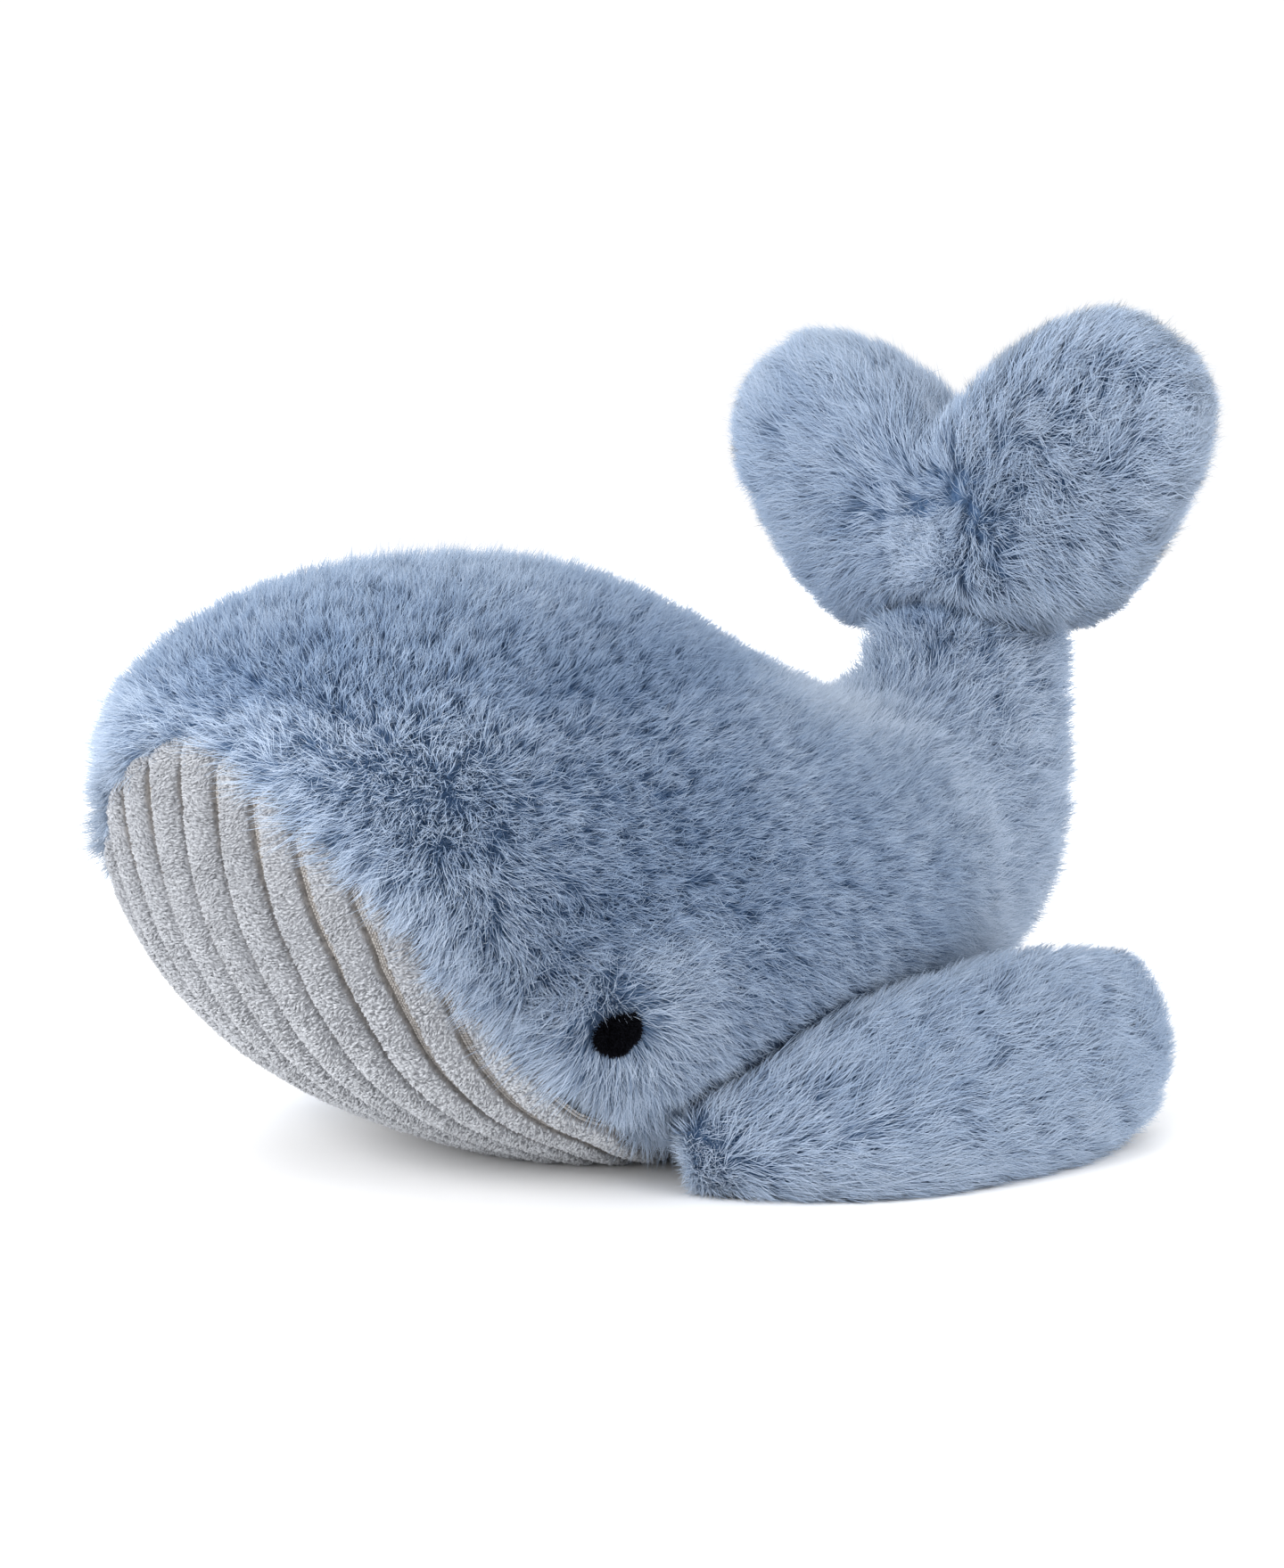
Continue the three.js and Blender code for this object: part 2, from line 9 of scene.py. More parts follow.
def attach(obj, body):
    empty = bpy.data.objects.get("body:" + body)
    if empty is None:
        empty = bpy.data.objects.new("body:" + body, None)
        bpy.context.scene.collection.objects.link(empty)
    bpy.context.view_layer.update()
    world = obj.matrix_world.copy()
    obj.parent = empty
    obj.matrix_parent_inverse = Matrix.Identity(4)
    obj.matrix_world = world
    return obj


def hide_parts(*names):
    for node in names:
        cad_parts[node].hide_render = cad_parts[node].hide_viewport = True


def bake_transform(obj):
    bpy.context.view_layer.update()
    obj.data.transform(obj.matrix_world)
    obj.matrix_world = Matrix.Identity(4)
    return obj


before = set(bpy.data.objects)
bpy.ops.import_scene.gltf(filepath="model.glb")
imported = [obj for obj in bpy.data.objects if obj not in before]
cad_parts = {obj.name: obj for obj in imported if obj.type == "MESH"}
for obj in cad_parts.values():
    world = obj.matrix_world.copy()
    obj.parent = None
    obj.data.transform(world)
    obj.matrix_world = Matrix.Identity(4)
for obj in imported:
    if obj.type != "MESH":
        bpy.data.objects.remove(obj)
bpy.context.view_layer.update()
scene = bpy.context.scene

# ------------------------------------------------------------------ dimensions, in millimetres, as in the CAD source
SHIFT_Y = -23.25
PILE = 10.0
SECTION_TOP, SECTION_LOW = 2.0, 2.15
BACK = [
    (-172.2, 154.6), (-159.7, 175.4), (-133.6, 192.8), (-93.3, 203.7), (-40.1, 203.2), (11.1, 189.0),
    (62.4, 161.8), (107.6, 145.2), (139.9, 149.0), (148.5, 165.0), (147.0, 181.6), (146.4, 200.2),
]
BELLY = [
    (-172.2, 154.6), (-174.5, 131.8), (-168.4, 103.6), (-155.3, 67.9), (-122.0, 31.5), (-63.2, 3.0),
    (-0.3, -9.3), (76.4, -2.8), (146.6, 12.7), (204.4, 52.9), (221.1, 104.8), (221.5, 199.8),
]
HALF_WIDTH = [0, 45.3, 79.1, 101.0, 109.9, 114.1, 107.2, 87.3, 60.7, 47.1, 39.9, 38.6]
WIDEST = [0.5, 0.5, 0.5, 0.48, 0.45, 0.43, 0.43, 0.45, 0.5, 0.5, 0.5, 0.5]
LAST = 11
PANEL_EDGE = [-0.81, -0.70, -0.72, -0.68, -0.74, -0.92, -1.12, -1.30, -1.53]
PANEL_END = 8.0
EYE_T, EYE_PHI = 4.42, -0.482
TAIL_AXIS = np.array([0.0, 169.0, 104.5])
TAIL_NORMAL = np.array([0.0, 0.7366, 0.6759])      # towards the tail, across the bending place
FLUKE_AXIS = np.array([0.0, 184.0, 163.0])
FLUKE_ROLL = math.radians(4.0)
FLUKE_HALF_THICK = 27.0
FLUKE_CENTRE = (0.0, 44.0)
FLUKE_OUTLINE = [
    (0, 78), (17, 90), (44, 106), (73, 112), (97, 104), (112, 91), (118, 74), (113.5, 55), (102, 39),
    (90, 23), (76, 9), (60, -0.5), (40, -3.5), (20, -2), (0, 0),
]
FLIP_LINE = [
    (86, -38, 15), (103, -22, 20), (118, 6, 25), (125, 42, 28), (126, 82, 31), (122, 115, 33), (116, 141, 36),
    (110, 160, 38),
]
FLIP_LEAN = [12, 22, 29, 30, 30, 28, 24, 20]
FLIP_HALF_WIDTH = [18, 25, 34, 38, 38.5, 34.5, 25, 3]
FLIP_HALF_THICK = [12, 17, 20, 21, 20, 17, 12, 2]
FLIP_SECTION = 2.3

DENSITY = 1.0
WIDEN = DENSITY ** -0.5


# ------------------------------------------------------------------ small tools
def unit(v):
    return v / np.maximum(np.linalg.norm(v, axis=-1, keepdims=True), 1e-9)


def dot(a, b):
    return np.sum(a * b, axis=-1)


def smooth(x, a, b):
    t = np.clip((x - a) / (b - a), 0, 1)
    return t * t * (3 - 2 * t)


def row_frame(p):
    """Points in millimetres to metres in the shared frame."""
    q = np.array(p, float)
    q[..., 1] += SHIFT_Y
    return q / 1000.0


def natural_spline(v):
    v = np.array(v, float)
    n = len(v)
    c, mu, z = np.zeros(n), [0.0], [0.0]
    b, d = np.zeros(n - 1), np.zeros(n - 1)
    for i in range(1, n - 1):
        k = 4 - mu[i - 1]
        mu.append(1 / k)
        z.append((3 * (v[i + 1] - 2 * v[i] + v[i - 1]) - z[i - 1]) / k)
    for j in range(n - 2, -1, -1):
        c[j] = 0 if j == 0 else z[j] - mu[j] * c[j + 1]
        b[j] = v[j + 1] - v[j] - (c[j + 1] + 2 * c[j]) / 3
        d[j] = (c[j + 1] - c[j]) / 3

    def at(t):
        t = np.asarray(t, float)
        i = np.clip(np.floor(t).astype(int), 0, n - 2)
        u = t - i
        return v[i] + u * (b[i] + u * (c[i] + u * d[i]))

    return at


def hashed(ix, iy, iz, seed):
    h = (ix * 73856093) ^ (iy * 19349663) ^ (iz * 83492791) ^ (seed * 668265263)
    h = (h ^ (h >> 13)) * 1274126177 & 0xFFFFFFFF
    h = (h ^ (h >> 16)) * 2246822519 & 0xFFFFFFFF
    h = (h ^ (h >> 15)) & 0xFFFFFFFF
    return h.astype(np.float64) / 2147483648.0 - 1.0


def noise(p, size, seed):
    """Smooth noise from -1 to 1 at points p, with features about size millimetres across."""
    q = np.asarray(p, float) / size + 1000.0
    i = np.floor(q).astype(np.int64)
    f = q - i
    f = f * f * (3 - 2 * f)
    out = 0.0
    for dx in (0, 1):
        wx = f[..., 0] if dx else 1 - f[..., 0]
        for dy in (0, 1):
            wy = f[..., 1] if dy else 1 - f[..., 1]
            for dz in (0, 1):
                wz = f[..., 2] if dz else 1 - f[..., 2]
                out = out + wx * wy * wz * hashed(i[..., 0] + dx, i[..., 1] + dy, i[..., 2] + dz, seed)
    return out


def noise3(p, size, seed):
    return np.stack([noise(p, size, seed), noise(p, size, seed + 1), noise(p, size, seed + 2)], -1)


def locks_of(p, size, seed):
    """Each point's lock of pile: the nearest of scattered centres about size millimetres apart, with three numbers
    from -1 to 1 that all of a lock's points share."""
    q = p / size + 1000.0
    i = np.floor(q).astype(np.int64)
    best = np.full(len(p), 1e9)
    centre, share = np.zeros_like(q), np.zeros_like(q)
    for dx in (-1, 0, 1):
        for dy in (-1, 0, 1):
            for dz in (-1, 0, 1):
                c = i + (dx, dy, dz)
                h = np.stack([hashed(c[:, 0], c[:, 1], c[:, 2], seed + k) for k in range(3)], -1)
                at = c + 0.5 + 0.45 * h
                d = np.sum((q - at) ** 2, -1)
                near = d < best
                best = np.where(near, d, best)
                centre[near], share[near] = at[near], np.stack([h[:, 1] * h[:, 2], h[:, 2], h[:, 0]], -1)[near]
    return (centre - 1000.0) * size, share


# ------------------------------------------------------------------ the fitted surfaces
profile = BELLY[:0:-1] + BACK
profile_y = natural_spline([p[0] for p in profile])
profile_z = natural_spline([p[1] for p in profile])
width_at = natural_spline([-w for w in HALF_WIDTH[:0:-1]] + HALF_WIDTH)
widest_at = natural_spline(WIDEST)
panel_edge = natural_spline(PANEL_EDGE)


def body_point(t, phi):
    t, phi = np.broadcast_arrays(np.asarray(t, float), np.asarray(phi, float))
    ty, tz, by, bz = profile_y(LAST + t), profile_z(LAST + t), profile_y(LAST - t), profile_z(LAST - t)
    m = widest_at(t)
    my, mz, w = by + (ty - by) * m, bz + (tz - bz) * m, np.abs(width_at(LAST + t))
    c, q = np.cos(phi), np.sin(phi)
    e = np.where(q > 0, 2 / SECTION_TOP, 2 / SECTION_LOW)
    k = np.abs(q) ** e
    fy, fz = np.where(q > 0, ty, by), np.where(q > 0, tz, bz)
    x, y, z = np.sign(c) * np.abs(c) ** e * w, my + (fy - my) * k, mz + (fz - mz) * k
    # gathered in where it is sewn into the fluke
    neck = 1 - 0.34 * smooth(z, 162, 184) * (y > 100)
    return np.stack([x * neck, FLUKE_AXIS[1] + (y - FLUKE_AXIS[1]) * np.where(y > 100, neck, 1), z], -1)


def body_normal(t, phi):
    h = 0.02
    t0, t1 = np.maximum(0.05, t - h), np.minimum(LAST, t + h)
    a = body_point(t1, phi) - body_point(t0, phi)
    b = body_point(t, phi + h) - body_point(t, phi - h)
    return unit(np.cross(a, b))


def fluke_outline(n):
    right = np.array([(x, 0, z) for x, z in FLUKE_OUTLINE], float)
    left = right[1:-1][::-1] * (-1, 1, 1)
    pts = np.concatenate([right, left])
    k = len(pts)
    s = np.arange(n) / n * k
    i = np.floor(s).astype(int)
    u = (s - i)[:, None]
    p0, p1, p2, p3 = (pts[(i + o) % k] for o in (-1, 0, 1, 2))
    m1, m2 = 0.5 * (p2 - p0), 0.5 * (p3 - p1)
    u2, u3 = u * u, u * u * u
    return (2 * u3 - 3 * u2 + 1) * p1 + (u3 - 2 * u2 + u) * m1 + (-2 * u3 + 3 * u2) * p2 + (u3 - u2) * m2


FLUKE_N = 720
FLUKE_CURVE = fluke_outline(FLUKE_N)
_c, _s = math.cos(-FLUKE_ROLL), math.sin(-FLUKE_ROLL)
FLUKE_TURN = np.array([[_c, 0, _s], [0, 1, 0], [-_s, 0, _c]])


def fluke_point(a, v):
    """a: turn round the outline, 0 to 1. v: -1 at the front pole, 0 on the outline, 1 at the back pole."""
    a, v = np.broadcast_arrays(np.asarray(a, float), np.asarray(v, float))
    s = (a % 1.0) * FLUKE_N
    i = np.floor(s).astype(int) % FLUKE_N
    u = (s - np.floor(s))[..., None]
    q = FLUKE_CURVE[i] * (1 - u) + FLUKE_CURVE[(i + 1) % FLUKE_N] * u
    r = np.clip(1 - v * v, 0, 1)                       # so that steps near the edge stay even
    half = FLUKE_HALF_THICK * np.sqrt(np.maximum(0, 1 - r ** 2.8))
    z_at = FLUKE_CENTRE[1] + (q[..., 2] - FLUKE_CENTRE[1]) * r
    half = half + 12.0 * np.exp(-((z_at - 6) / 21.0) ** 2 - (q[..., 0] * r / 34.0) ** 2) * (1 - r ** 8)
    y = np.sign(v) * half
    p = np.stack([FLUKE_CENTRE[0] + (q[..., 0] - FLUKE_CENTRE[0]) * r, y,
                  FLUKE_CENTRE[1] + (q[..., 2] - FLUKE_CENTRE[1]) * r], -1)
    return p @ FLUKE_TURN.T + FLUKE_AXIS


def numeric_normal(point, a, b, ha, hb, low=None, high=None):
    b0, b1 = b - hb, b + hb
    if low is not None:
        b0, b1 = np.maximum(low, b0), np.minimum(high, b1)
    return unit(np.cross(point(a + ha, b) - point(a - ha, b), point(a, b1) - point(a, b0)))


def fluke_normal(a, v):
    return numeric_normal(fluke_point, a, v, 0.002, 0.01, -0.999, 0.999)


flip_x, flip_y, flip_z = (natural_spline([p[k] for p in FLIP_LINE]) for k in range(3))
flip_lean, flip_wide, flip_thick = (natural_spline(v) for v in (FLIP_LEAN, FLIP_HALF_WIDTH, FLIP_HALF_THICK))
FLIP_LAST = len(FLIP_LINE) - 1


def flip_frame(t):
    t = np.asarray(t, float)
    at = lambda s: np.stack([flip_x(s), flip_y(s), flip_z(s)], -1)
    d = unit(at(t + 0.01) - at(t - 0.01))
    lean = np.radians(flip_lean(t))
    w = np.stack([-np.sin(lean), 0 * lean, np.cos(lean)], -1)
    w = unit(w - d * dot(w, d)[..., None])
    return at(t), d, w, np.cross(d, w)


def flip_point(t, p):
    """t: 0 at the root to 7 at the tip, and down to -1 over the rounded root end. p: turn round the section, 0 at the
    upper edge, 0.25 at the outer face."""
    t, p = np.broadcast_arrays(np.asarray(t, float), np.asarray(p, float))
    tt = np.clip(t, 0, FLIP_LAST)
    c, d, w, n = flip_frame(tt)
    # round both ends off
    tip = np.maximum(np.clip((tt - 6.0) / 1.0, 0, 1), np.clip(-t, 0, 1))
    c = c - d * (5.0 * np.clip(-t, 0, 1))[..., None]
    a = flip_wide(np.minimum(tt, 6.0)) * np.sqrt(np.maximum(0, 1 - tip ** 2)) + 0.01
    h = flip_thick(np.minimum(tt, 6.0)) * np.sqrt(np.maximum(0, 1 - tip ** 2)) + 0.01
    e = 2 / FLIP_SECTION
    cp, sp = np.cos(2 * math.pi * p), np.sin(2 * math.pi * p)
    return (c + w * (a * np.sign(cp) * np.abs(cp) ** e)[..., None] + n * (h * np.sign(sp) * np.abs(sp) ** e)[..., None])


def flip_normal(t, p):
    t = np.asarray(t, float)
    b = flip_point(t, p + 0.01) - flip_point(t, p - 0.01)
    a = flip_point(np.minimum(t + 0.03, FLIP_LAST), p) - flip_point(np.maximum(t - 0.03, -0.999), p)
    return unit(np.cross(b, a))


# ------------------------------------------------------------------ meshes
def new_mesh(name, verts, loops, starts, uv=None, normals=None, smooth_faces=True):
    me = bpy.data.meshes.new(name)
    me.vertices.add(len(verts))
    me.vertices.foreach_set("co", np.asarray(verts, np.float32).ravel())
    me.loops.add(len(loops))
    me.loops.foreach_set("vertex_index", np.asarray(loops, np.int32))
    me.polygons.add(len(starts))
    me.polygons.foreach_set("loop_start", np.asarray(starts, np.int32))
    me.update(calc_edges=True)
    if smooth_faces:
        me.polygons.foreach_set("use_smooth", np.ones(len(starts), bool))
    if uv is not None:
        layer = me.uv_layers.new(name="OFBake")
        layer.data.foreach_set("uv", np.asarray(uv, np.float32).ravel())
    if normals is not None:
        me.normals_split_custom_set_from_vertices(np.asarray(normals, np.float32))
    ob = bpy.data.objects.new(name, me)
    scene.collection.objects.link(ob)
    return ob


def grid_mesh(name, P, keep=None, closed=False, flip=False, inner=None, attribute=None):
    """P is rows x columns of points. keep marks the cells to make. inner is a second grid on the inside, joined
    to the first along every open edge, so that the piece is a closed shell."""
    m, n = P.shape[:2]
    cells_n = n if closed else n - 1
    if keep is None:
        keep = np.ones((m - 1, cells_n), bool)
    i, j = np.nonzero(keep)
    j1 = (j + 1) % n
    quad = np.stack([i * n + j, i * n + j1, (i + 1) * n + j1, (i + 1) * n + j], -1)
    if flip:
        quad = quad[:, ::-1]
    verts = row_frame(P.reshape(-1, 3))
    if inner is not None:
        total = m * n
        edges = np.concatenate([quad[:, [0, 1]], quad[:, [1, 2]], quad[:, [2, 3]], quad[:, [3, 0]]])
        key = edges[:, 0].astype(np.int64) * total + edges[:, 1]
        back = edges[:, 1].astype(np.int64) * total + edges[:, 0]
        rim = edges[~np.isin(key, back)]
        side = np.stack([rim[:, 1], rim[:, 0], rim[:, 0] + total, rim[:, 1] + total], -1)
        quad = np.concatenate([quad, quad[:, ::-1] + total, side])
        verts = np.concatenate([verts, row_frame(inner.reshape(-1, 3))])
    used, flat = np.unique(quad, return_inverse=True)
    verts = verts[used]
    flat = flat.reshape(quad.shape)
    ob = new_mesh(name, verts, flat.ravel(), np.arange(len(flat)) * 4)
    if attribute is not None:
        label, value = attribute
        value = np.concatenate([value.ravel(), value.ravel()])[used] if inner is not None else value.ravel()[used]
        ob.data.attributes.new(label, "FLOAT", "POINT").data.foreach_set("value", value.astype(np.float32))
    return ob


# ------------------------------------------------------------------ pile made of fine tapered strands
MOST = 199_000 // 9
NORMAL_SKIN, NORMAL_STRAND = 0.85, 0.45
FLOOR_MIN = 0.3
COLUMN = 1.4 / 1024         # half the width of a strand in its texture coordinates


def strands(name, root, along0, along1, pull, width, face_normal, tint, v0=0.01, v1=0.99, skin=None, round_=None):
    """Three-sided tapered strands that bend once. along0 and along1 are the start and end directions times the
    length, pull is how far the tip is drawn aside, all in millimetres. Returns objects of at most MOST strands."""
    made = []
    total = len(root)
    parts = max(1, math.ceil(total / MOST))
    for k in range(parts if total else 0):
        sel = slice(total * k // parts, total * (k + 1) // parts)
        r, a0, a1, pl = root[sel], along0[sel], along1[sel], pull[sel]
        w, fn, tn = width[sel], face_normal[sel], tint[sel]
        n = len(r)
        mid_s = 0.52
        at = lambda s: r + a0 * (s - s * s / 2) + a1 * (s * s / 2) + pl * (s * s)
        p0, p1, p2 = at(0.0), at(mid_s), at(1.0)
        d = unit(p2 - p0)
        side = unit(np.cross(d, fn + 0.3 * noise3(r, 0.7, 91)))
        up = np.cross(d, side)
        verts = np.zeros((n, 7, 3))
        norms = np.zeros((n, 7, 3))
        for q in range(3):
            ang = 2 * math.pi * q / 3 + 0.4
            off = side * math.cos(ang) + up * math.sin(ang)
            verts[:, q] = p0 + off * w[:, None] * 0.5
            verts[:, 3 + q] = p1 + off * w[:, None] * 0.42
            norms[:, q] = norms[:, 3 + q] = unit(fn * (skin or NORMAL_SKIN) + off * (round_ or NORMAL_STRAND))
        verts[:, 6] = p2
        norms[:, 6] = fn
        verts[..., 2] = np.maximum(verts[..., 2], FLOOR_MIN)
        base = (np.arange(n) * 7)[:, None]
        quads = np.array([0, 1, 4, 3, 1, 2, 5, 4, 2, 0, 3, 5])
        tris = np.array([3, 4, 6, 4, 5, 6, 5, 3, 6])
        loops = np.concatenate([base + quads, base + tris], 1)
        starts = np.concatenate([(np.arange(n) * 21)[:, None] + np.array([0, 4, 8]),
                                 (np.arange(n) * 21)[:, None] + np.array([12, 15, 18])], 1)
        spread = np.array([-COLUMN, COLUMN, 0.0])
        uu = np.zeros((n, 7, 2))
        uu[:, 0:3, 0] = uu[:, 3:6, 0] = tn[:, None] + spread
        uu[:, 6, 0] = tn
        uu[:, 0:3, 1], uu[:, 3:6, 1], uu[:, 6, 1] = v0, v0 + (v1 - v0) * mid_s, v1
        order = np.concatenate([quads, tris])
        label = name if parts == 1 else f"{name}_{k + 1}"
        made.append(new_mesh(label, row_frame(verts.reshape(-1, 3)), loops.ravel(), starts.ravel(),
                             uv=uu[:, order].reshape(-1, 2), normals=norms.reshape(-1, 3)))
    return made


def spikes(name, root, tip, width, face_normal, tint, v0=0.01, v1=0.7):
    """Straight three-sided tapered strands, for the short dense coat under the long one."""
    made = []
    total = len(root)
    most = 190_000 // 3
    parts = max(1, math.ceil(total / most))
    for k in range(parts if total else 0):
        sel = slice(total * k // parts, total * (k + 1) // parts)
        r, p, w, fn, tn = root[sel], tip[sel], width[sel], face_normal[sel], tint[sel]
        n = len(r)
        d = unit(p - r)
        side = unit(np.cross(d, fn + 0.5 * noise3(r, 0.6, 95)))
        up = np.cross(d, side)
        verts, norms = np.zeros((n, 4, 3)), np.zeros((n, 4, 3))
        for q in range(3):
            ang = 2 * math.pi * q / 3 + 0.9
            off = side * math.cos(ang) + up * math.sin(ang)
            verts[:, q] = r + off * w[:, None] * 0.5
            norms[:, q] = unit(fn * NORMAL_SKIN + off * NORMAL_STRAND)
        verts[:, 3], norms[:, 3] = p, fn
        verts[..., 2] = np.maximum(verts[..., 2], FLOOR_MIN)
        tris = np.array([0, 1, 3, 1, 2, 3, 2, 0, 3])
        loops = (np.arange(n) * 4)[:, None] + tris
        starts = (np.arange(n) * 9)[:, None] + np.array([0, 3, 6])
        uu = np.zeros((n, 4, 2))
        uu[:, 0:3, 0] = tn[:, None] + np.array([-COLUMN, COLUMN, 0.0])
        uu[:, 3, 0] = tn
        uu[:, 0:3, 1], uu[:, 3, 1] = v0, v1
        label = name if parts == 1 else f"{name}_{k + 1}"
        made.append(new_mesh(label, row_frame(verts.reshape(-1, 3)), loops.ravel(), starts.ravel(),
                             uv=uu[:, tris].reshape(-1, 2), normals=norms.reshape(-1, 3)))
    return made


def sample_surface(point, a_range, b_range, cells, per_mm2, rng, weight=None):
    """Random places (a, b) on a surface, evenly spread over its area. weight(a, b, p) thins them out."""
    a = np.linspace(*a_range, cells[0] + 1)
    b = np.linspace(*b_range, cells[1] + 1)
    P = point(a[:, None], b[None, :])
    e1, e2 = P[1:, :-1] - P[:-1, :-1], P[:-1, 1:] - P[:-1, :-1]
    area = np.linalg.norm(np.cross(e1, e2), axis=-1)
    ac, bc = (a[1:] + a[:-1]) / 2, (b[1:] + b[:-1]) / 2
    A, B = np.meshgrid(ac, bc, indexing="ij")
    want = area * per_mm2
    if weight is not None:
        want = want * np.clip(weight(A, B, (P[1:, 1:] + P[:-1, :-1]) / 2), 0, None)
    flat = want.ravel()
    total = int(round(flat.sum()))
    at = (np.arange(total) + rng.random(total)) * (flat.sum() / max(total, 1))
    cell = np.minimum(np.searchsorted(np.cumsum(flat), at), len(flat) - 1)
    i, j = cell // cells[1], cell % cells[1]
    return a[i] + rng.random(total) * (a[1] - a[0]), b[j] + rng.random(total) * (b[1] - b[0])


def pieces_of(data, mask):
    return {k: v[mask] for k, v in data.items()}


def grow(point, normal, flow, a_range, b_range, cells, rng, depth, length, lean, tufts=0.165, each=8, width=0.26,
         spread=0.85, clump=0.4, swirl=(0.35, 0.30, 0.55), lock=8.0, lock_pull=0.28, lock_turn=0.55, proud=0.6,
         weight=None, tweak=None, mirror=False, under=0.85, under_length=0.70, tone=0.0, mess=1.0):
    """Long tufted strands and the short coat under them. Each strand is as long as it takes to reach the envelope,
    up to length. Returns (long strands, short strands)."""
    a, b = sample_surface(point, a_range, b_range, cells, tufts * DENSITY, rng, weight)
    P, N = point(a, b), normal(a, b)
    F = flow(P, N, a, b)
    F = F - N * dot(F, N)[:, None]
    s = noise3(P, 26, 11) * swirl[0] + noise3(P, 9, 21) * swirl[1] + noise3(P, 3.4, 31) * swirl[2]
    centre, share = locks_of(P + 0.25 * lock * noise3(P, lock * 0.6, 81), lock, 83)
    s = s + share * lock_turn
    F = F + s - N * dot(s, N)[:, None]
    gather = (centre - P) * lock_pull
    gather = gather - N * dot(gather, N)[:, None]
    size = np.linalg.norm(gather, axis=-1, keepdims=True)
    gather = gather * np.minimum(1, 3.2 / np.maximum(size, 1e-6))
    strength = np.linalg.norm(F, axis=-1)
    F = unit(F)
    n = len(P)
    lean_c = np.radians(lean) * np.clip(0.5 + 0.6 * strength, 0.5, 1.5) * (1 + 0.15 * rng.normal(0, 1, n))
    lean_c = lean_c * (1 + 0.22 * share[:, 1] + 0.25 * noise(P, 42, 43))
    len_c = length * (1 + 0.06 * noise(P, 7, 41) + 0.07 * share[:, 2] + rng.normal(0, 0.06, n))
    alive = np.ones(n, bool)
    cut, shade, mess, proud = np.ones(n), np.zeros(n), np.full(n, float(mess)), np.full(n, float(proud))
    if tweak is not None:
        lean_c, cut, alive, shade, mess, proud = tweak(P, N, F, lean_c, a, b, share, mess, proud)
    # where the flow dies out the strands lie every way
    mess = mess + 0.9 * np.exp(-(strength / 0.34) ** 2)
    P, N, F, lean_c, len_c, cut = P[alive], N[alive], F[alive], lean_c[alive], len_c[alive], cut[alive]
    share, shade, mess, proud = share[alive], shade[alive] + tone, mess[alive], proud[alive]
    gather = gather[alive] * (1 + 2.6 * np.clip(1 - mess, 0, 1))[:, None]
    lean_c = np.minimum(lean_c, 1.15)
    len_c = len_c * np.maximum(cut, 1)
    n = len(P)
    S = np.cross(N, F)
    rise = 0.5 * (np.cos(lean_c * 0.75) + np.cos(np.minimum(lean_c * 1.35, 1.35)))
    len_c = np.minimum(len_c, (depth + proud * (1 + share[:, 2])) / np.maximum(rise, 0.2)) * np.minimum(cut, 1)
    # shade, from the tweaks, is painted light and shade added to each tuft's tint; the noise and lock terms are random
    # tone
    tint_c = 0.5 + shade + 0.16 * noise(P, 34, 51) + 0.14 * share[:, 0] + 0.11 * rng.normal(0, 1, n)

    k = np.repeat(np.arange(n), each)
    m = len(k)
    off = rng.normal(0, spread, (m, 2))
    root = P[k] - N[k] * depth + F[k] * off[:, :1] + S[k] * off[:, 1:]
    L = len_c[k] * (1 + rng.normal(0, 0.12, m)).clip(0.55, 1.25)
    a0 = np.clip(lean_c[k] * 0.75 + mess[k] * rng.normal(0, 0.24, m), -0.9, 1.35)
    a1 = np.clip(lean_c[k] * 1.35 + mess[k] * rng.normal(0, 0.40, m), -1.0, 1.5)
    yaw = mess[k] * rng.normal(0, 0.55, m)
    Fi = F[k] * np.cos(yaw)[:, None] + S[k] * np.sin(yaw)[:, None]
    d0 = N[k] * np.cos(a0)[:, None] + Fi * np.sin(a0)[:, None]
    d1 = N[k] * np.cos(a1)[:, None] + Fi * np.sin(a1)[:, None]
    pull = (F[k] * off[:, :1] + S[k] * off[:, 1:]) * -clump + gather[k]
    w = WIDEN * width * (1 + 0.25 * rng.normal(0, 1, m)).clip(0.5, 1.7)
    tint = np.clip(tint_c[k] + 0.11 * rng.normal(0, 1, m), 0.02, 0.98)
    coat = dict(root=root, along0=d0 * L[:, None], along1=d1 * L[:, None], pull=pull, width=w, face_normal=N[k],
                tint=tint)

    m = int(round(n * under / tufts))
    k = rng.integers(0, n, m)
    off = rng.normal(0, 1.9, (m, 2))
    root = P[k] - N[k] * depth + F[k] * off[:, :1] + S[k] * off[:, 1:]
    L = under_length * depth * cut[k] * (1 + rng.normal(0, 0.2, m)).clip(0.5, 1.5)
    d = unit(N[k] + F[k] * (np.tan(np.minimum(lean_c[k], 1.0))[:, None] * 0.7) + 0.52 * rng.normal(0, 1, (m, 3)))
    w = WIDEN * width * 1.45 * (1 + 0.25 * rng.normal(0, 1, m)).clip(0.5, 1.7)
    fuzz = dict(root=root, tip=root + d * L[:, None], width=w, face_normal=N[k],
                tint=np.clip(tint_c[k] + 0.14 * rng.normal(0, 1, m), 0.02, 0.98))
    if mirror:
        for data in (coat, fuzz):
            for key in ("root", "along0", "along1", "pull", "tip", "face_normal"):
                if key in data:
                    data[key] = data[key] * (-1, 1, 1)
    return coat, fuzz


def trim(coat, bvh, most, depth):
    """Strands that would end more than most outside the envelope are drawn back to about there."""
    d, _, _ = outward(bvh, tips_of(coat))
    limit = most * (1 + 0.9 * noise(coat["root"], 4.5, 97)) + 4.6 * np.maximum(noise(coat["root"], 0.9, 98), 0) ** 1.5
    scale = np.clip((depth + limit) / np.maximum(depth + d, 0.1), 0.3, 1)
    for key in ("along0", "along1", "pull"):
        coat[key] = coat[key] * scale[:, None]
    return coat


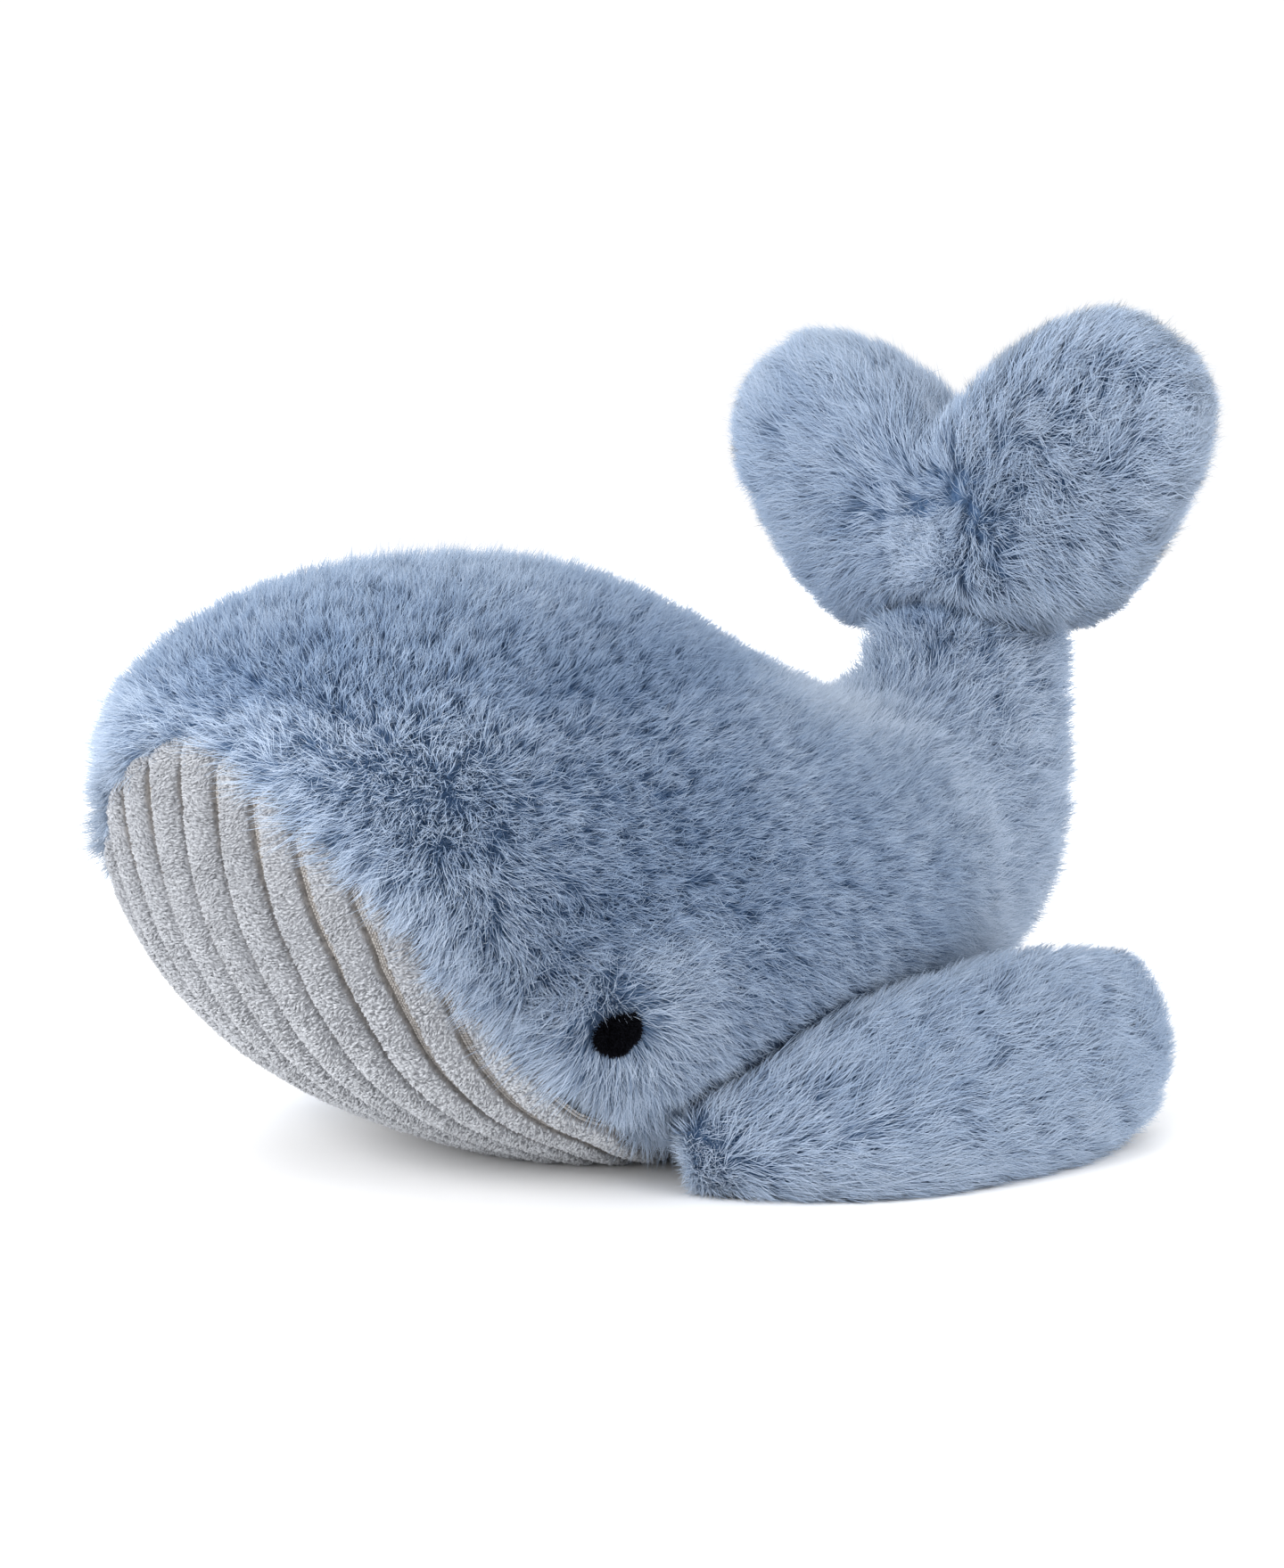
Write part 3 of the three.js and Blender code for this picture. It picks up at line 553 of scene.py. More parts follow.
def tips_of(coat):
    return coat["root"] + coat["along0"] * 0.5 + coat["along1"] * 0.5 + coat["pull"]


def fit_beside(coat, fuzz, bvh, mask, keep=0.4, shade=0.0, sink=1.5):
    """Strands that would end inside the neighbour are pressed short and darkened by shade, painted shade of the crease
    between the two parts, and those rooted in it are left out."""
    idx = np.nonzero(mask(tips_of(coat)))[0]
    if len(idx):
        inner = inside(bvh, tips_of(coat)[idx])
        rooted = inside(bvh, (coat["root"] + coat["face_normal"] * sink)[idx])
        short = idx[inner]
        for key in ("along0", "along1", "pull"):
            coat[key][short] *= keep
        # painted shade: pressed strands are darkened as in the crease's shadow
        coat["tint"][short] = np.clip(coat["tint"][short] - shade, 0.02, 0.98)
        alive = np.ones(len(coat["root"]), bool)
        alive[idx[rooted]] = False
        coat = pieces_of(coat, alive)
    idx = np.nonzero(mask(fuzz["tip"]))[0]
    if len(idx):
        inner = inside(bvh, fuzz["tip"][idx])
        alive = np.ones(len(fuzz["root"]), bool)
        alive[idx[inner]] = False
        fuzz = pieces_of(fuzz, alive)
    return coat, fuzz


# ------------------------------------------------------------------ what lies inside what
def tree(P, closed=True, flip=False, keep=None):
    m, n = P.shape[:2]
    i, j = np.meshgrid(np.arange(m - 1), np.arange(n if closed else n - 1), indexing="ij")
    if keep is not None:
        i, j = i[keep], j[keep]
    i, j = i.ravel(), j.ravel()
    j1 = (j + 1) % n
    q = np.stack([i * n + j, i * n + j1, (i + 1) * n + j1, (i + 1) * n + j], -1)
    if flip:
        q = q[:, ::-1]
    return BVHTree.FromPolygons([tuple(v) for v in P.reshape(-1, 3)], [tuple(int(x) for x in f) for f in q])


def inside(bvh, points, margin=0.0):
    """Whether each point lies more than margin inside the surface, whose faces look outwards."""
    out = np.zeros(len(points), bool)
    for k, p in enumerate(points.tolist()):
        loc, normal, _, _ = bvh.find_nearest(p)
        out[k] = (p[0] - loc[0]) * normal[0] + (p[1] - loc[1]) * normal[1] + (p[2] - loc[2]) * normal[2] < -margin
    return out


def outward(bvh, points):
    """Signed distance to the surface (negative inside), the nearest place on it and its normal."""
    d, at, nn = np.zeros(len(points)), np.zeros((len(points), 3)), np.zeros((len(points), 3))
    for k, p in enumerate(points.tolist()):
        loc, normal, _, _ = bvh.find_nearest(p)
        at[k], nn[k] = loc, normal
        d[k] = (p[0] - loc[0]) * normal[0] + (p[1] - loc[1]) * normal[1] + (p[2] - loc[2]) * normal[2]
    return d, at, nn


# ------------------------------------------------------------------ materials
def srgb(r, g, b):
    def one(c):
        c = c / 255.0
        return c / 12.92 if c <= 0.04045 else ((c + 0.055) / 1.055) ** 2.4
    return (one(r), one(g), one(b), 1.0)


def material(name, roughness=0.9, sheen=0.0, sheen_roughness=0.5, sheen_tint=(1, 1, 1, 1), specular=0.2):
    mat = bpy.data.materials.new(name)
    mat.use_nodes = True
    nt = mat.node_tree
    b = nt.nodes["Principled BSDF"]
    b.inputs["Roughness"].default_value = roughness
    b.inputs["Specular IOR Level"].default_value = specular
    b.inputs["Sheen Weight"].default_value = sheen
    b.inputs["Sheen Roughness"].default_value = sheen_roughness
    b.inputs["Sheen Tint"].default_value = sheen_tint
    return mat, nt, b


def ramp(nt, stops, interpolation="LINEAR"):
    r = nt.nodes.new("ShaderNodeValToRGB")
    r.color_ramp.interpolation = interpolation
    els = r.color_ramp.elements
    while len(els) > 1:
        els.remove(els[-1])
    els[0].position, els[0].color = stops[0]
    for pos, col in stops[1:]:
        e = els.new(pos)
        e.color = col
    return r


def mix(nt, a, b, fac):
    m = nt.nodes.new("ShaderNodeMix")
    m.data_type = "RGBA"
    for sock, val in ((m.inputs["Factor"], fac), (m.inputs["A"], a), (m.inputs["B"], b)):
        if hasattr(val, "is_linked") or isinstance(val, bpy.types.NodeSocket):
            nt.links.new(val, sock)
        else:
            sock.default_value = val
    return m.outputs["Result"]


def pile_material(name, root_dark, root_light, tip_dark, tip_light, start=0.12, end=0.85, sheen=0.35,
                  sheen_tint=(1, 1, 1, 1), specular=0.25):
    """Colour by strand: u picks the strand's tint, v runs from its root to its tip."""
    mat, nt, b = material(name, roughness=0.75, sheen=sheen, sheen_roughness=0.45, sheen_tint=sheen_tint,
                          specular=specular)
    uv = nt.nodes.new("ShaderNodeUVMap")
    uv.uv_map = "OFBake"
    sep = nt.nodes.new("ShaderNodeSeparateXYZ")
    nt.links.new(uv.outputs["UV"], sep.inputs[0])
    roots = ramp(nt, [(0.0, root_dark), (1.0, root_light)])
    tips = ramp(nt, [(0.0, tip_dark), (1.0, tip_light)])
    nt.links.new(sep.outputs["X"], roots.inputs["Fac"])
    nt.links.new(sep.outputs["X"], tips.inputs["Fac"])
    # roots darker and tips paler: partly the fibres' own colour, partly painted shade deep in the pile and painted
    # light through the tips
    along = ramp(nt, [(start, (0, 0, 0, 1)), (end, (1, 1, 1, 1))], "EASE")
    nt.links.new(sep.outputs["Y"], along.inputs["Fac"])
    nt.links.new(mix(nt, roots.outputs["Color"], tips.outputs["Color"], along.outputs["Color"]), b.inputs["Base Color"])
    return mat


fur_mat = pile_material("long_pile", (0.032, 0.067, 0.145, 1), (0.085, 0.150, 0.262, 1),
                        (0.245, 0.337, 0.488, 1), (0.550, 0.640, 0.775, 1), start=0.20, end=0.88, sheen=0.18,
                        sheen_tint=(0.70, 0.84, 1.0, 1), specular=0.04)
rib_pile_mat = pile_material("rib_pile", (0.165, 0.171, 0.186, 1), (0.270, 0.279, 0.299, 1),
                             (0.340, 0.353, 0.383, 1), (0.620, 0.640, 0.678, 1), start=0.08, end=0.70, sheen=0.12,
                             specular=0.05)
eye_pile_mat = pile_material("eye_pile", (0.0010, 0.0010, 0.0014, 1), (0.0018, 0.0018, 0.0024, 1),
                             (0.0026, 0.0026, 0.0036, 1), (0.0085, 0.0090, 0.0125, 1), sheen=0.0,
                             specular=0.0)


def cloth_material(name, low, high, scale, bump=0.3, sheen=0.2, distance=0.0006, specular=0.2):
    mat, nt, b = material(name, roughness=0.95, sheen=sheen, specular=specular)
    tex = nt.nodes.new("ShaderNodeTexCoord")
    n1 = nt.nodes.new("ShaderNodeTexNoise")
    n1.inputs["Scale"].default_value = scale
    n1.inputs["Detail"].default_value = 5
    nt.links.new(tex.outputs["Object"], n1.inputs["Vector"])
    r = ramp(nt, [(0.3, low), (0.7, high)])
    nt.links.new(n1.outputs["Fac"], r.inputs["Fac"])
    nt.links.new(r.outputs["Color"], b.inputs["Base Color"])
    if bump:
        bm = nt.nodes.new("ShaderNodeBump")
        bm.inputs["Strength"].default_value = bump
        bm.inputs["Distance"].default_value = distance
        nt.links.new(n1.outputs["Fac"], bm.inputs["Height"])
        nt.links.new(bm.outputs["Normal"], b.inputs["Normal"])
    return mat


def woven_material(name, low, high, pitch, sheen=0.15):
    """Plain weave: two crossed sets of fine threads, with a slow change of colour over the cloth."""
    mat, nt, b = material(name, roughness=0.9, sheen=sheen)
    tex = nt.nodes.new("ShaderNodeTexCoord")
    waves = []
    for axis in ("X", "Y"):
        w = nt.nodes.new("ShaderNodeTexWave")
        w.bands_direction = axis
        w.inputs["Scale"].default_value = 0.05 / pitch * 6.2832
        w.inputs["Distortion"].default_value = 0.6
        nt.links.new(tex.outputs["Object"], w.inputs["Vector"])
        waves.append(w)
    high_of = nt.nodes.new("ShaderNodeMath")
    high_of.operation = "MAXIMUM"
    nt.links.new(waves[0].outputs["Fac"], high_of.inputs[0])
    nt.links.new(waves[1].outputs["Fac"], high_of.inputs[1])
    slow = nt.nodes.new("ShaderNodeTexNoise")
    slow.inputs["Scale"].default_value = 60
    slow.inputs["Detail"].default_value = 4
    nt.links.new(tex.outputs["Object"], slow.inputs["Vector"])
    r = ramp(nt, [(0.25, low), (0.75, high)])
    nt.links.new(slow.outputs["Fac"], r.inputs["Fac"])
    shade = ramp(nt, [(0.0, (0.55, 0.55, 0.55, 1)), (1.0, (1, 1, 1, 1))])
    nt.links.new(high_of.outputs[0], shade.inputs["Fac"])
    m = nt.nodes.new("ShaderNodeMix")
    m.data_type, m.blend_type = "RGBA", "MULTIPLY"
    m.inputs["Factor"].default_value = 1.0
    nt.links.new(r.outputs["Color"], m.inputs["A"])
    nt.links.new(shade.outputs["Color"], m.inputs["B"])
    nt.links.new(m.outputs["Result"], b.inputs["Base Color"])
    bm = nt.nodes.new("ShaderNodeBump")
    bm.inputs["Strength"].default_value = 0.5
    bm.inputs["Distance"].default_value = 0.0003
    nt.links.new(high_of.outputs[0], bm.inputs["Height"])
    nt.links.new(bm.outputs["Normal"], b.inputs["Normal"])
    return mat


def panel_material():
    """Ribs of pale short pile, with the brown-grey knitted ground showing in the grooves between them."""
    mat, nt, b = material("ribbed_cloth", roughness=0.95, sheen=0.2)
    tex = nt.nodes.new("ShaderNodeTexCoord")
    n1 = nt.nodes.new("ShaderNodeTexNoise")
    n1.inputs["Scale"].default_value = 700
    n1.inputs["Detail"].default_value = 6
    n1.inputs["Distortion"].default_value = 0.8
    nt.links.new(tex.outputs["Object"], n1.inputs["Vector"])
    rib = ramp(nt, [(0.30, (0.225, 0.233, 0.254, 1)), (0.70, (0.360, 0.371, 0.398, 1))])
    nt.links.new(n1.outputs["Fac"], rib.inputs["Fac"])
    ground = ramp(nt, [(0.30, (0.070, 0.064, 0.060, 1)), (0.70, (0.190, 0.176, 0.165, 1))])
    nt.links.new(n1.outputs["Fac"], ground.inputs["Fac"])
    at = nt.nodes.new("ShaderNodeAttribute")
    at.attribute_name = "groove"
    nt.links.new(mix(nt, rib.outputs["Color"], ground.outputs["Color"], at.outputs["Fac"]), b.inputs["Base Color"])
    bm = nt.nodes.new("ShaderNodeBump")
    bm.inputs["Strength"].default_value = 0.6
    bm.inputs["Distance"].default_value = 0.0008
    nt.links.new(n1.outputs["Fac"], bm.inputs["Height"])
    nt.links.new(bm.outputs["Normal"], b.inputs["Normal"])
    return mat


backing_mat = cloth_material("pile_backing", (0.036, 0.072, 0.150, 1), (0.080, 0.140, 0.245, 1), 900, specular=0.04)
panel_mat = panel_material()
stitch_mat = cloth_material("knit_ground", (0.240, 0.226, 0.214, 1), (0.400, 0.380, 0.362, 1), 1500, bump=0.2)
eye_base_mat = cloth_material("eye_ground", (0.0010, 0.0010, 0.0014, 1), (0.0035, 0.0035, 0.0045, 1), 1400, sheen=0.0,
                              specular=0.0)
fibre_mat = cloth_material("fibre_filling", (0.700, 0.690, 0.665, 1), (0.920, 0.915, 0.900, 1), 420, bump=0.9,
                           sheen=0.5, distance=0.0015)
pouch_mat = woven_material("pouch_cloth", (0.560, 0.530, 0.470, 1), (0.740, 0.715, 0.650, 1), 0.0006)


def pellet_material():
    mat, nt, b = material("pellets", roughness=0.38, specular=0.5)
    tex = nt.nodes.new("ShaderNodeTexCoord")
    n1 = nt.nodes.new("ShaderNodeTexNoise")
    n1.inputs["Scale"].default_value = 170
    n1.inputs["Detail"].default_value = 3
    nt.links.new(tex.outputs["Object"], n1.inputs["Vector"])
    r = ramp(nt, [(0.3, (0.66, 0.66, 0.67, 1)), (0.7, (0.86, 0.86, 0.86, 1))])
    nt.links.new(n1.outputs["Fac"], r.inputs["Fac"])
    nt.links.new(r.outputs["Color"], b.inputs["Base Color"])
    rough = ramp(nt, [(0.3, (0.30, 0.30, 0.30, 1)), (0.7, (0.48, 0.48, 0.48, 1))])
    nt.links.new(n1.outputs["Fac"], rough.inputs["Fac"])
    nt.links.new(rough.outputs["Color"], b.inputs["Roughness"])
    return mat


pellet_mat = pellet_material()

# ------------------------------------------------------------------ camera, floor and light
cam_data = bpy.data.cameras.new("camera")
cam_data.lens = 86.47
cam_data.sensor_width = 36.0
cam = bpy.data.objects.new("camera", cam_data)
scene.collection.objects.link(cam)
az, el = math.radians(47.65), math.radians(8.18)
target = Vector((0.0, -0.00325, 0.118))
away = Vector((math.sin(az) * math.cos(el), -math.cos(az) * math.cos(el), math.sin(el)))
cam.location = target + away * 1.3
cam.rotation_mode = "QUATERNION"
cam.rotation_quaternion = (-away).to_track_quat("-Z", "Y")
cam_data.clip_start, cam_data.clip_end = 0.05, 50
scene.camera = cam

scene.view_settings.view_transform = "Standard"
scene.view_settings.look = "None"

floor_mat, floor_nt, floor_b = material("floor", roughness=0.9, specular=0.1)
floor_noise = floor_nt.nodes.new("ShaderNodeTexNoise")
floor_noise.inputs["Scale"].default_value = 3
floor_ramp = ramp(floor_nt, [(0.3, (0.93, 0.93, 0.935, 1)), (0.7, (0.95, 0.95, 0.95, 1))])
floor_nt.links.new(floor_noise.outputs["Fac"], floor_ramp.inputs["Fac"])
floor_nt.links.new(floor_ramp.outputs["Color"], floor_b.inputs["Base Color"])
bpy.ops.mesh.primitive_plane_add(size=60, location=(0, 0, 0))
floor = bpy.context.object
floor.name = "floor"
floor.data.materials.append(floor_mat)

world = bpy.data.worlds.new("studio")
scene.world = world
world.use_nodes = True
bg = world.node_tree.nodes["Background"]
bg.inputs["Color"].default_value = (1.0, 1.0, 1.0, 1)
bg.inputs["Strength"].default_value = 1.08


def area_light(name, location, size, power, colour=(1, 1, 1)):
    data = bpy.data.lights.new(name, "AREA")
    data.shape = "DISK"
    data.size = size
    data.energy = power
    data.color = colour
    ob = bpy.data.objects.new(name, data)
    scene.collection.objects.link(ob)
    ob.location = location
    ob.rotation_mode = "QUATERNION"
    ob.rotation_quaternion = (Vector(location) - Vector((0, 0, 0.1))).to_track_quat("Z", "Y")
    return ob


area_light("key", (-0.1, -1.85, 0.95), 1.3, 37)
area_light("fill", (1.7, 0.1, 0.6), 1.4, 14)
area_light("back", (-1.2, 1.6, 1.0), 1.4, 23)

# ------------------------------------------------------------------ skins under the pile
TAIL_SPLIT = -32.0          # behind this distance from the bending place the body's cover rides on the root alone
FLUKE_SPLIT = 148.0         # height above which the tail's cover is made as its own top pieces


def tail_side(p):
    return (p - TAIL_AXIS) @ TAIL_NORMAL


def to_row(p):
    return tuple(row_frame(np.array(p, float)))


TAIL_START, TAIL_END = to_row(TAIL_AXIS - TAIL_NORMAL * 26), to_row(TAIL_AXIS + TAIL_NORMAL * 2)
FOLD_START, FOLD_END = to_row((0, 184, 155)), to_row((0, 184, 176))


def carry(ob, where):
    if where == "tail":
        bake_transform(ob)
    elif where == "fluke_root":
        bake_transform(ob)
    else:
        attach(ob, where)


def finish_piece(ob, mat, where, replaces=()):
    ob.data.materials.clear()
    ob.data.materials.append(mat)
    carry(ob, where)
    if replaces:
        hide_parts(*replaces)
    return ob


# body and tail skin, one grid, split into pieces by where its cells lie
T_ROWS = np.concatenate([np.linspace(0.06, 1, 14)[:-1], np.linspace(1, LAST, 111)])
PHI = np.linspace(-math.pi / 2, 3 * math.pi / 2, 161)[:-1]
TT, PP = T_ROWS[:, None] + 0 * PHI, PHI + 0 * T_ROWS[:, None]
SKIN_P, SKIN_N = body_point(TT, PP), body_normal(TT, PP)
skin_depth = PILE - 1.2
wrinkle = 0.8 * noise(SKIN_P, 34, 5) + 0.5 * noise(SKIN_P, 15, 6)
SKIN = SKIN_P - SKIN_N * skin_depth + SKIN_N * wrinkle[..., None]
SKIN_IN = SKIN_P - SKIN_N * (PILE - 0.1)
for G in (SKIN, SKIN_IN):
    G[..., 2] = np.maximum(G[..., 2], 1.2)
SKIN_IN[..., 2] = np.maximum(SKIN_IN[..., 2], 2.2)

cell = (SKIN_P[:-1] + SKIN_P[1:]) / 2
cell = (cell + np.roll(cell, -1, axis=1)) / 2
phi_c = PHI + (PHI[1] - PHI[0]) / 2
t_c = (T_ROWS[1:] + T_ROWS[:-1]) / 2
left_cell = (np.cos(phi_c) > 0)[None, :] & np.ones((len(t_c), 1), bool)
edge_c = np.where(t_c < PANEL_END, np.minimum(panel_edge(t_c), -0.2), -math.pi / 2)
low_phi = np.where(np.cos(phi_c) > 0, phi_c, math.pi - phi_c)                 # both sides measured from +X
low_phi = np.where(low_phi > math.pi, low_phi - 2 * math.pi, low_phi)
panel_cell = low_phi[None, :] < edge_c[:, None]
dist_c = tail_side(cell)
zone = np.where(dist_c < TAIL_SPLIT, 0, np.where((cell[..., 2] < FLUKE_SPLIT) | (cell[..., 1] < 130), 1, 2))

body_tree = tree(SKIN_P, flip=True)
stalk_tree = tree(SKIN_P - SKIN_N * 4.0, flip=True)

for side, mask in (("left", left_cell), ("right", ~left_cell)):
    ob = grid_mesh(f"body_side_{side}", SKIN, mask & ~panel_cell & (zone == 0), closed=True, inner=SKIN_IN, flip=True)
    finish_piece(ob, backing_mat, "root", [f"body_shell_{side}"])
    ob = grid_mesh(f"tail_side_{side}", SKIN, mask & (zone == 1), closed=True, inner=SKIN_IN, flip=True)
    finish_piece(ob, backing_mat, "tail", [f"tail_shell_{side}"])
    ob = grid_mesh(f"tail_top_{side}", SKIN, mask & (zone == 2) & (cell[..., 2] < 184), closed=True, inner=SKIN_IN, flip=True)
    finish_piece(ob, backing_mat, "fluke_root", [])

# fluke skins
FA = np.linspace(0, 1, 181)[:-1]
FV = np.linspace(-0.9995, 0.9995, 67)
fluke_tree = tree(np.swapaxes(fluke_point(FA[:, None], FV[None, :]), 0, 1))
for side, v0, v1 in (("front", -0.9995, 0.0), ("back", 0.0, 0.9995)):
    FV = np.linspace(v0, v1, 34)
    A, V = FA[:, None] + 0 * FV, FV + 0 * FA[:, None]
    P, N = fluke_point(A, V), fluke_normal(A, V)
    G = P - N * 7.0
    # columns are the turn, so put the turn last
    mid = np.swapaxes((G[1:] + G[:-1]) / 2, 0, 1)
    mid = np.concatenate([mid, np.swapaxes((G[:1] + G[-1:]) / 2, 0, 1)], 1)
    mid = (mid[1:] + mid[:-1]) / 2
    hidden = inside(stalk_tree, mid.reshape(-1, 3), 6.0).reshape(mid.shape[:2]) & (mid[..., 2] < 176)
    ob = grid_mesh(f"fluke_{side}", np.swapaxes(G, 0, 1), ~hidden, closed=True, inner=np.swapaxes(P - N * 7.9, 0, 1))
    finish_piece(ob, backing_mat, "fluke", [f"fluke_{side}_panel"])

# flipper skins
FT = np.concatenate([-np.sin(np.linspace(math.pi / 2, 0, 10))[:-1] * 0.995, np.linspace(0, 6, 60),
                     6 + np.sin(np.linspace(0, math.pi / 2, 12))[1:] * 0.995])
FP = np.linspace(0, 1, 61)[:-1]
_F = flip_point(FT[:, None], FP[None, :])
flip_tree_left, flip_tree_right = tree(_F), tree(_F * (-1, 1, 1), flip=True)
for side, sign in (("left", 1), ("right", -1)):
    for part, p0, p1 in (("outer", 0.0, 0.5), ("inner", 0.5, 1.0)):
        t = FT
        p = np.linspace(p0, p1, 34)
        A, B = t[:, None] + 0 * p, p + 0 * t[:, None]
        P, N = flip_point(A, B), flip_normal(A, B)
        G, I = P - N * 6.0, P - N * 6.9
        for Q in (G, I):
            Q[..., 2] = np.maximum(Q[..., 2], 1.0)
            Q[..., 0] *= sign
        mid = (G[1:, 1:] + G[1:, :-1] + G[:-1, 1:] + G[:-1, :-1]) / 4
        hidden = inside(body_tree, mid.reshape(-1, 3), 9.0).reshape(mid.shape[:2])
        ob = grid_mesh(f"{side}_flipper_{part}", G, ~hidden, inner=I, flip=sign < 0)
        finish_piece(ob, backing_mat, f"{side}_flipper", [f"{side}_flipper_{part}_panel"])

# ------------------------------------------------------------------ pile of the body
eye_at, eye_normal = body_point(EYE_T, EYE_PHI), body_normal(EYE_T, EYE_PHI)


def side_of(phi):
    return np.where(np.cos(phi) >= 0, 1.0, -1.0)


def fold_angle(phi):
    """The angle round the section measured from the side that the point is on, up being positive."""
    f = np.where(np.cos(phi) > 0, phi, math.pi - phi)
    return np.where(f > math.pi, f - 2 * math.pi, f)


def edge_angle(t):
    return np.where(t < PANEL_END, np.minimum(panel_edge(np.minimum(t, PANEL_END)), -0.2), -math.pi / 2)


def flipped(v, s):
    return v * np.stack([s, np.ones_like(s), np.ones_like(s)], -1)


def near_seam(t, phi):
    gap = (fold_angle(phi) - edge_angle(t)) * 95.0
    return np.exp(-(np.maximum(gap, 0) / 22.0) ** 2) * np.where(t < PANEL_END, 1.0, 0.0)


def near_eye(P, s):
    e = flipped(P, s) - eye_at
    r = np.linalg.norm(e, axis=-1)
    reach = 27.0 + 16.0 * np.clip(e[:, 1] / np.maximum(r, 1e-6), 0, 1)
    return np.exp(-(r / reach) ** 2), e, r


def body_flow(P, N, t, phi):
    """Lies back from nose to tail, hangs over the belly panel's seam and parts round each eye."""
    s = side_of(phi)
    F = np.stack([0 * s, 0.34 + 0.30 * smooth(N[:, 2], 0.35, 0.95), -0.16 + 0 * s], -1)
    rise = smooth(P[:, 1], 112, 142)[:, None]
    F = F * (1 - rise) + np.stack([0.10 * s, 0.85 + 0 * s, 0.22 + 0 * s], -1) * rise
    down = unit(body_point(t, phi - s * 0.04) - body_point(t, phi))
    along = unit(body_point(np.minimum(t + 0.05, LAST), phi) - body_point(np.maximum(t - 0.05, 0.01), phi))
    hang = down + along * (-0.25 + 0.50 * smooth(t, 2.8, 4.6))[:, None]
    near = near_seam(t, phi)[:, None]
    F = F * (1 - near) + hang * near * 1.35
    part, e, r = near_eye(P, s)
    out = flipped(e / np.maximum(r, 1e-6)[:, None], s)
    return F * (1 - part[:, None]) + out * part[:, None] * 1.7


def body_tweak(P, N, F, lean, t, phi, share, mess, proud):
    s = side_of(phi)
    part, e, r = near_eye(P, s)
    near = near_seam(t, phi)
    rise = smooth(P[:, 1], 112, 142)
    middle = smooth(P[:, 1], -150, -85) * (1 - smooth(P[:, 1], 80, 135)) * (1 - near) * (1 - part)
    flank = smooth(np.abs(N[:, 0]), 0.35, 0.75) * middle
    back = smooth(N[:, 2], 0.45, 0.85) * middle
    crease = smooth(P[:, 2], 156, 170)
    lean = lean * (1 + 1.0 * near + part * (-0.35 + 1.5 * smooth(r, 6, 15)) + 0.85 * rise * (1 - part) - 0.30 * flank)
    far = near_seam(t, phi) * (s < 0) * smooth(-P[:, 1], 100, 140)
    # painted light and shade: lighter on the back and round the eye, against the eye's shadow ring; darker on the +X
    # flank and in the crease under the fluke; a little lighter on the -X flank, where the light is weaker. It is also
    # lighter near the seam
    shade = 0.15 + 0.12 * near + 0.16 * part - np.where(s > 0, 0.38, -0.04) * flank + 0.12 * back - 0.50 * crease
    lean = lean * (1 - 0.35 * far) * (1 + 0.30 * back)
    mess = mess * (1 - 0.62 * near - 0.12 * rise + np.where(s > 0, 0.15, -0.25) * flank) * (1 - 0.6 * np.exp(-(r / 9) ** 2))
    alive = fold_angle(phi) > edge_angle(t) + 0.02 * noise(P, 6, 71)
    alive &= (r > 5.9) & (P[:, 2] > -4)
    cut = 1 + near * (0.30 + 0.42 * share[:, 2]) + 0.12 * part - 0.25 * np.exp(-((r - 5.9) / 1.6) ** 2)
    cut = cut * (1 - 0.22 * crease) * (1 - 0.10 * flank)
    # over the seam the tufts end in points a few millimetres past it
    down = unit(body_point(t, phi - s * 0.04) - body_point(t, phi))
    gap = np.maximum((fold_angle(phi) - edge_angle(t)) * 95.0, 0)
    over = 16.0 * cut * np.sin(np.minimum(lean, 1.1)) * np.maximum(dot(F, down), 0.1)
    held = np.clip((gap + 4.2 + 3.2 * share[:, 2]) / over, 0.3, 1)
    cut = np.where((t < PANEL_END) & (gap < 30), cut * held, cut)
    low = (N[:, 2] < -0.75) & (P[:, 2] < 12)
    cut = np.where(low, cut * 0.6, cut)
    return lean, cut, alive, shade, mess, proud + 1.5 * far * share[:, 1] ** 2 + 1.6 * far


def body_weight(A, B, P):
    fold = fold_angle(B)
    seen = np.where(np.cos(B) > -0.2, 1.0, 0.82)
    hidden = (P[..., 0] ** 2 > 84 ** 2) & (P[..., 1] > -20) & (P[..., 1] < 90) & (P[..., 2] < 34)
    seen = np.where(hidden, 0.62, np.where((fold < -1.15) & (P[..., 2] < 8), 0.45, seen))
    seam = near_seam(A, B) * (P[..., 2] > 12)
    return seen * (1 + 0.75 * seam) * (fold > edge_angle(A) - 0.05) * np.where(P[..., 2] > -4, 1, 0)


rng = np.random.default_rng(20)
coat, fuzz = grow(body_point, body_normal, body_flow, (0.02, LAST), (-math.pi / 2, 3 * math.pi / 2), (220, 200), rng,
                  PILE - 0.4, 15.0, 23, weight=body_weight, tweak=body_tweak, lock_pull=0.2, proud=1.5)
# nothing lies across the eyes
_e = flipped(tips_of(coat), side_of(np.where(coat["root"][:, 0] > 0, 0.0, math.pi))) - eye_at
_e = _e - eye_normal * dot(_e, eye_normal)[:, None]
coat = pieces_of(coat, ~((np.linalg.norm(_e, axis=-1) < 6.6) & (np.abs(coat["root"][:, 0]) > 20)))
for tree_of, sign in ((flip_tree_left, 1), (flip_tree_right, -1)):
    beside = lambda p: (p[:, 0] * sign > 70) & (p[:, 1] < 170) & (p[:, 2] < 75)
    # shade=0.30: painted shade in the crease between body and flipper
    coat, fuzz = fit_beside(coat, fuzz, tree_of, beside, shade=0.30, sink=-3.5)
# shade=0.28: painted shade in the crease under the fluke
coat, fuzz = fit_beside(coat, fuzz, fluke_tree, lambda p: p[:, 2] > 152, keep=0.55, shade=0.28, sink=-4.0)


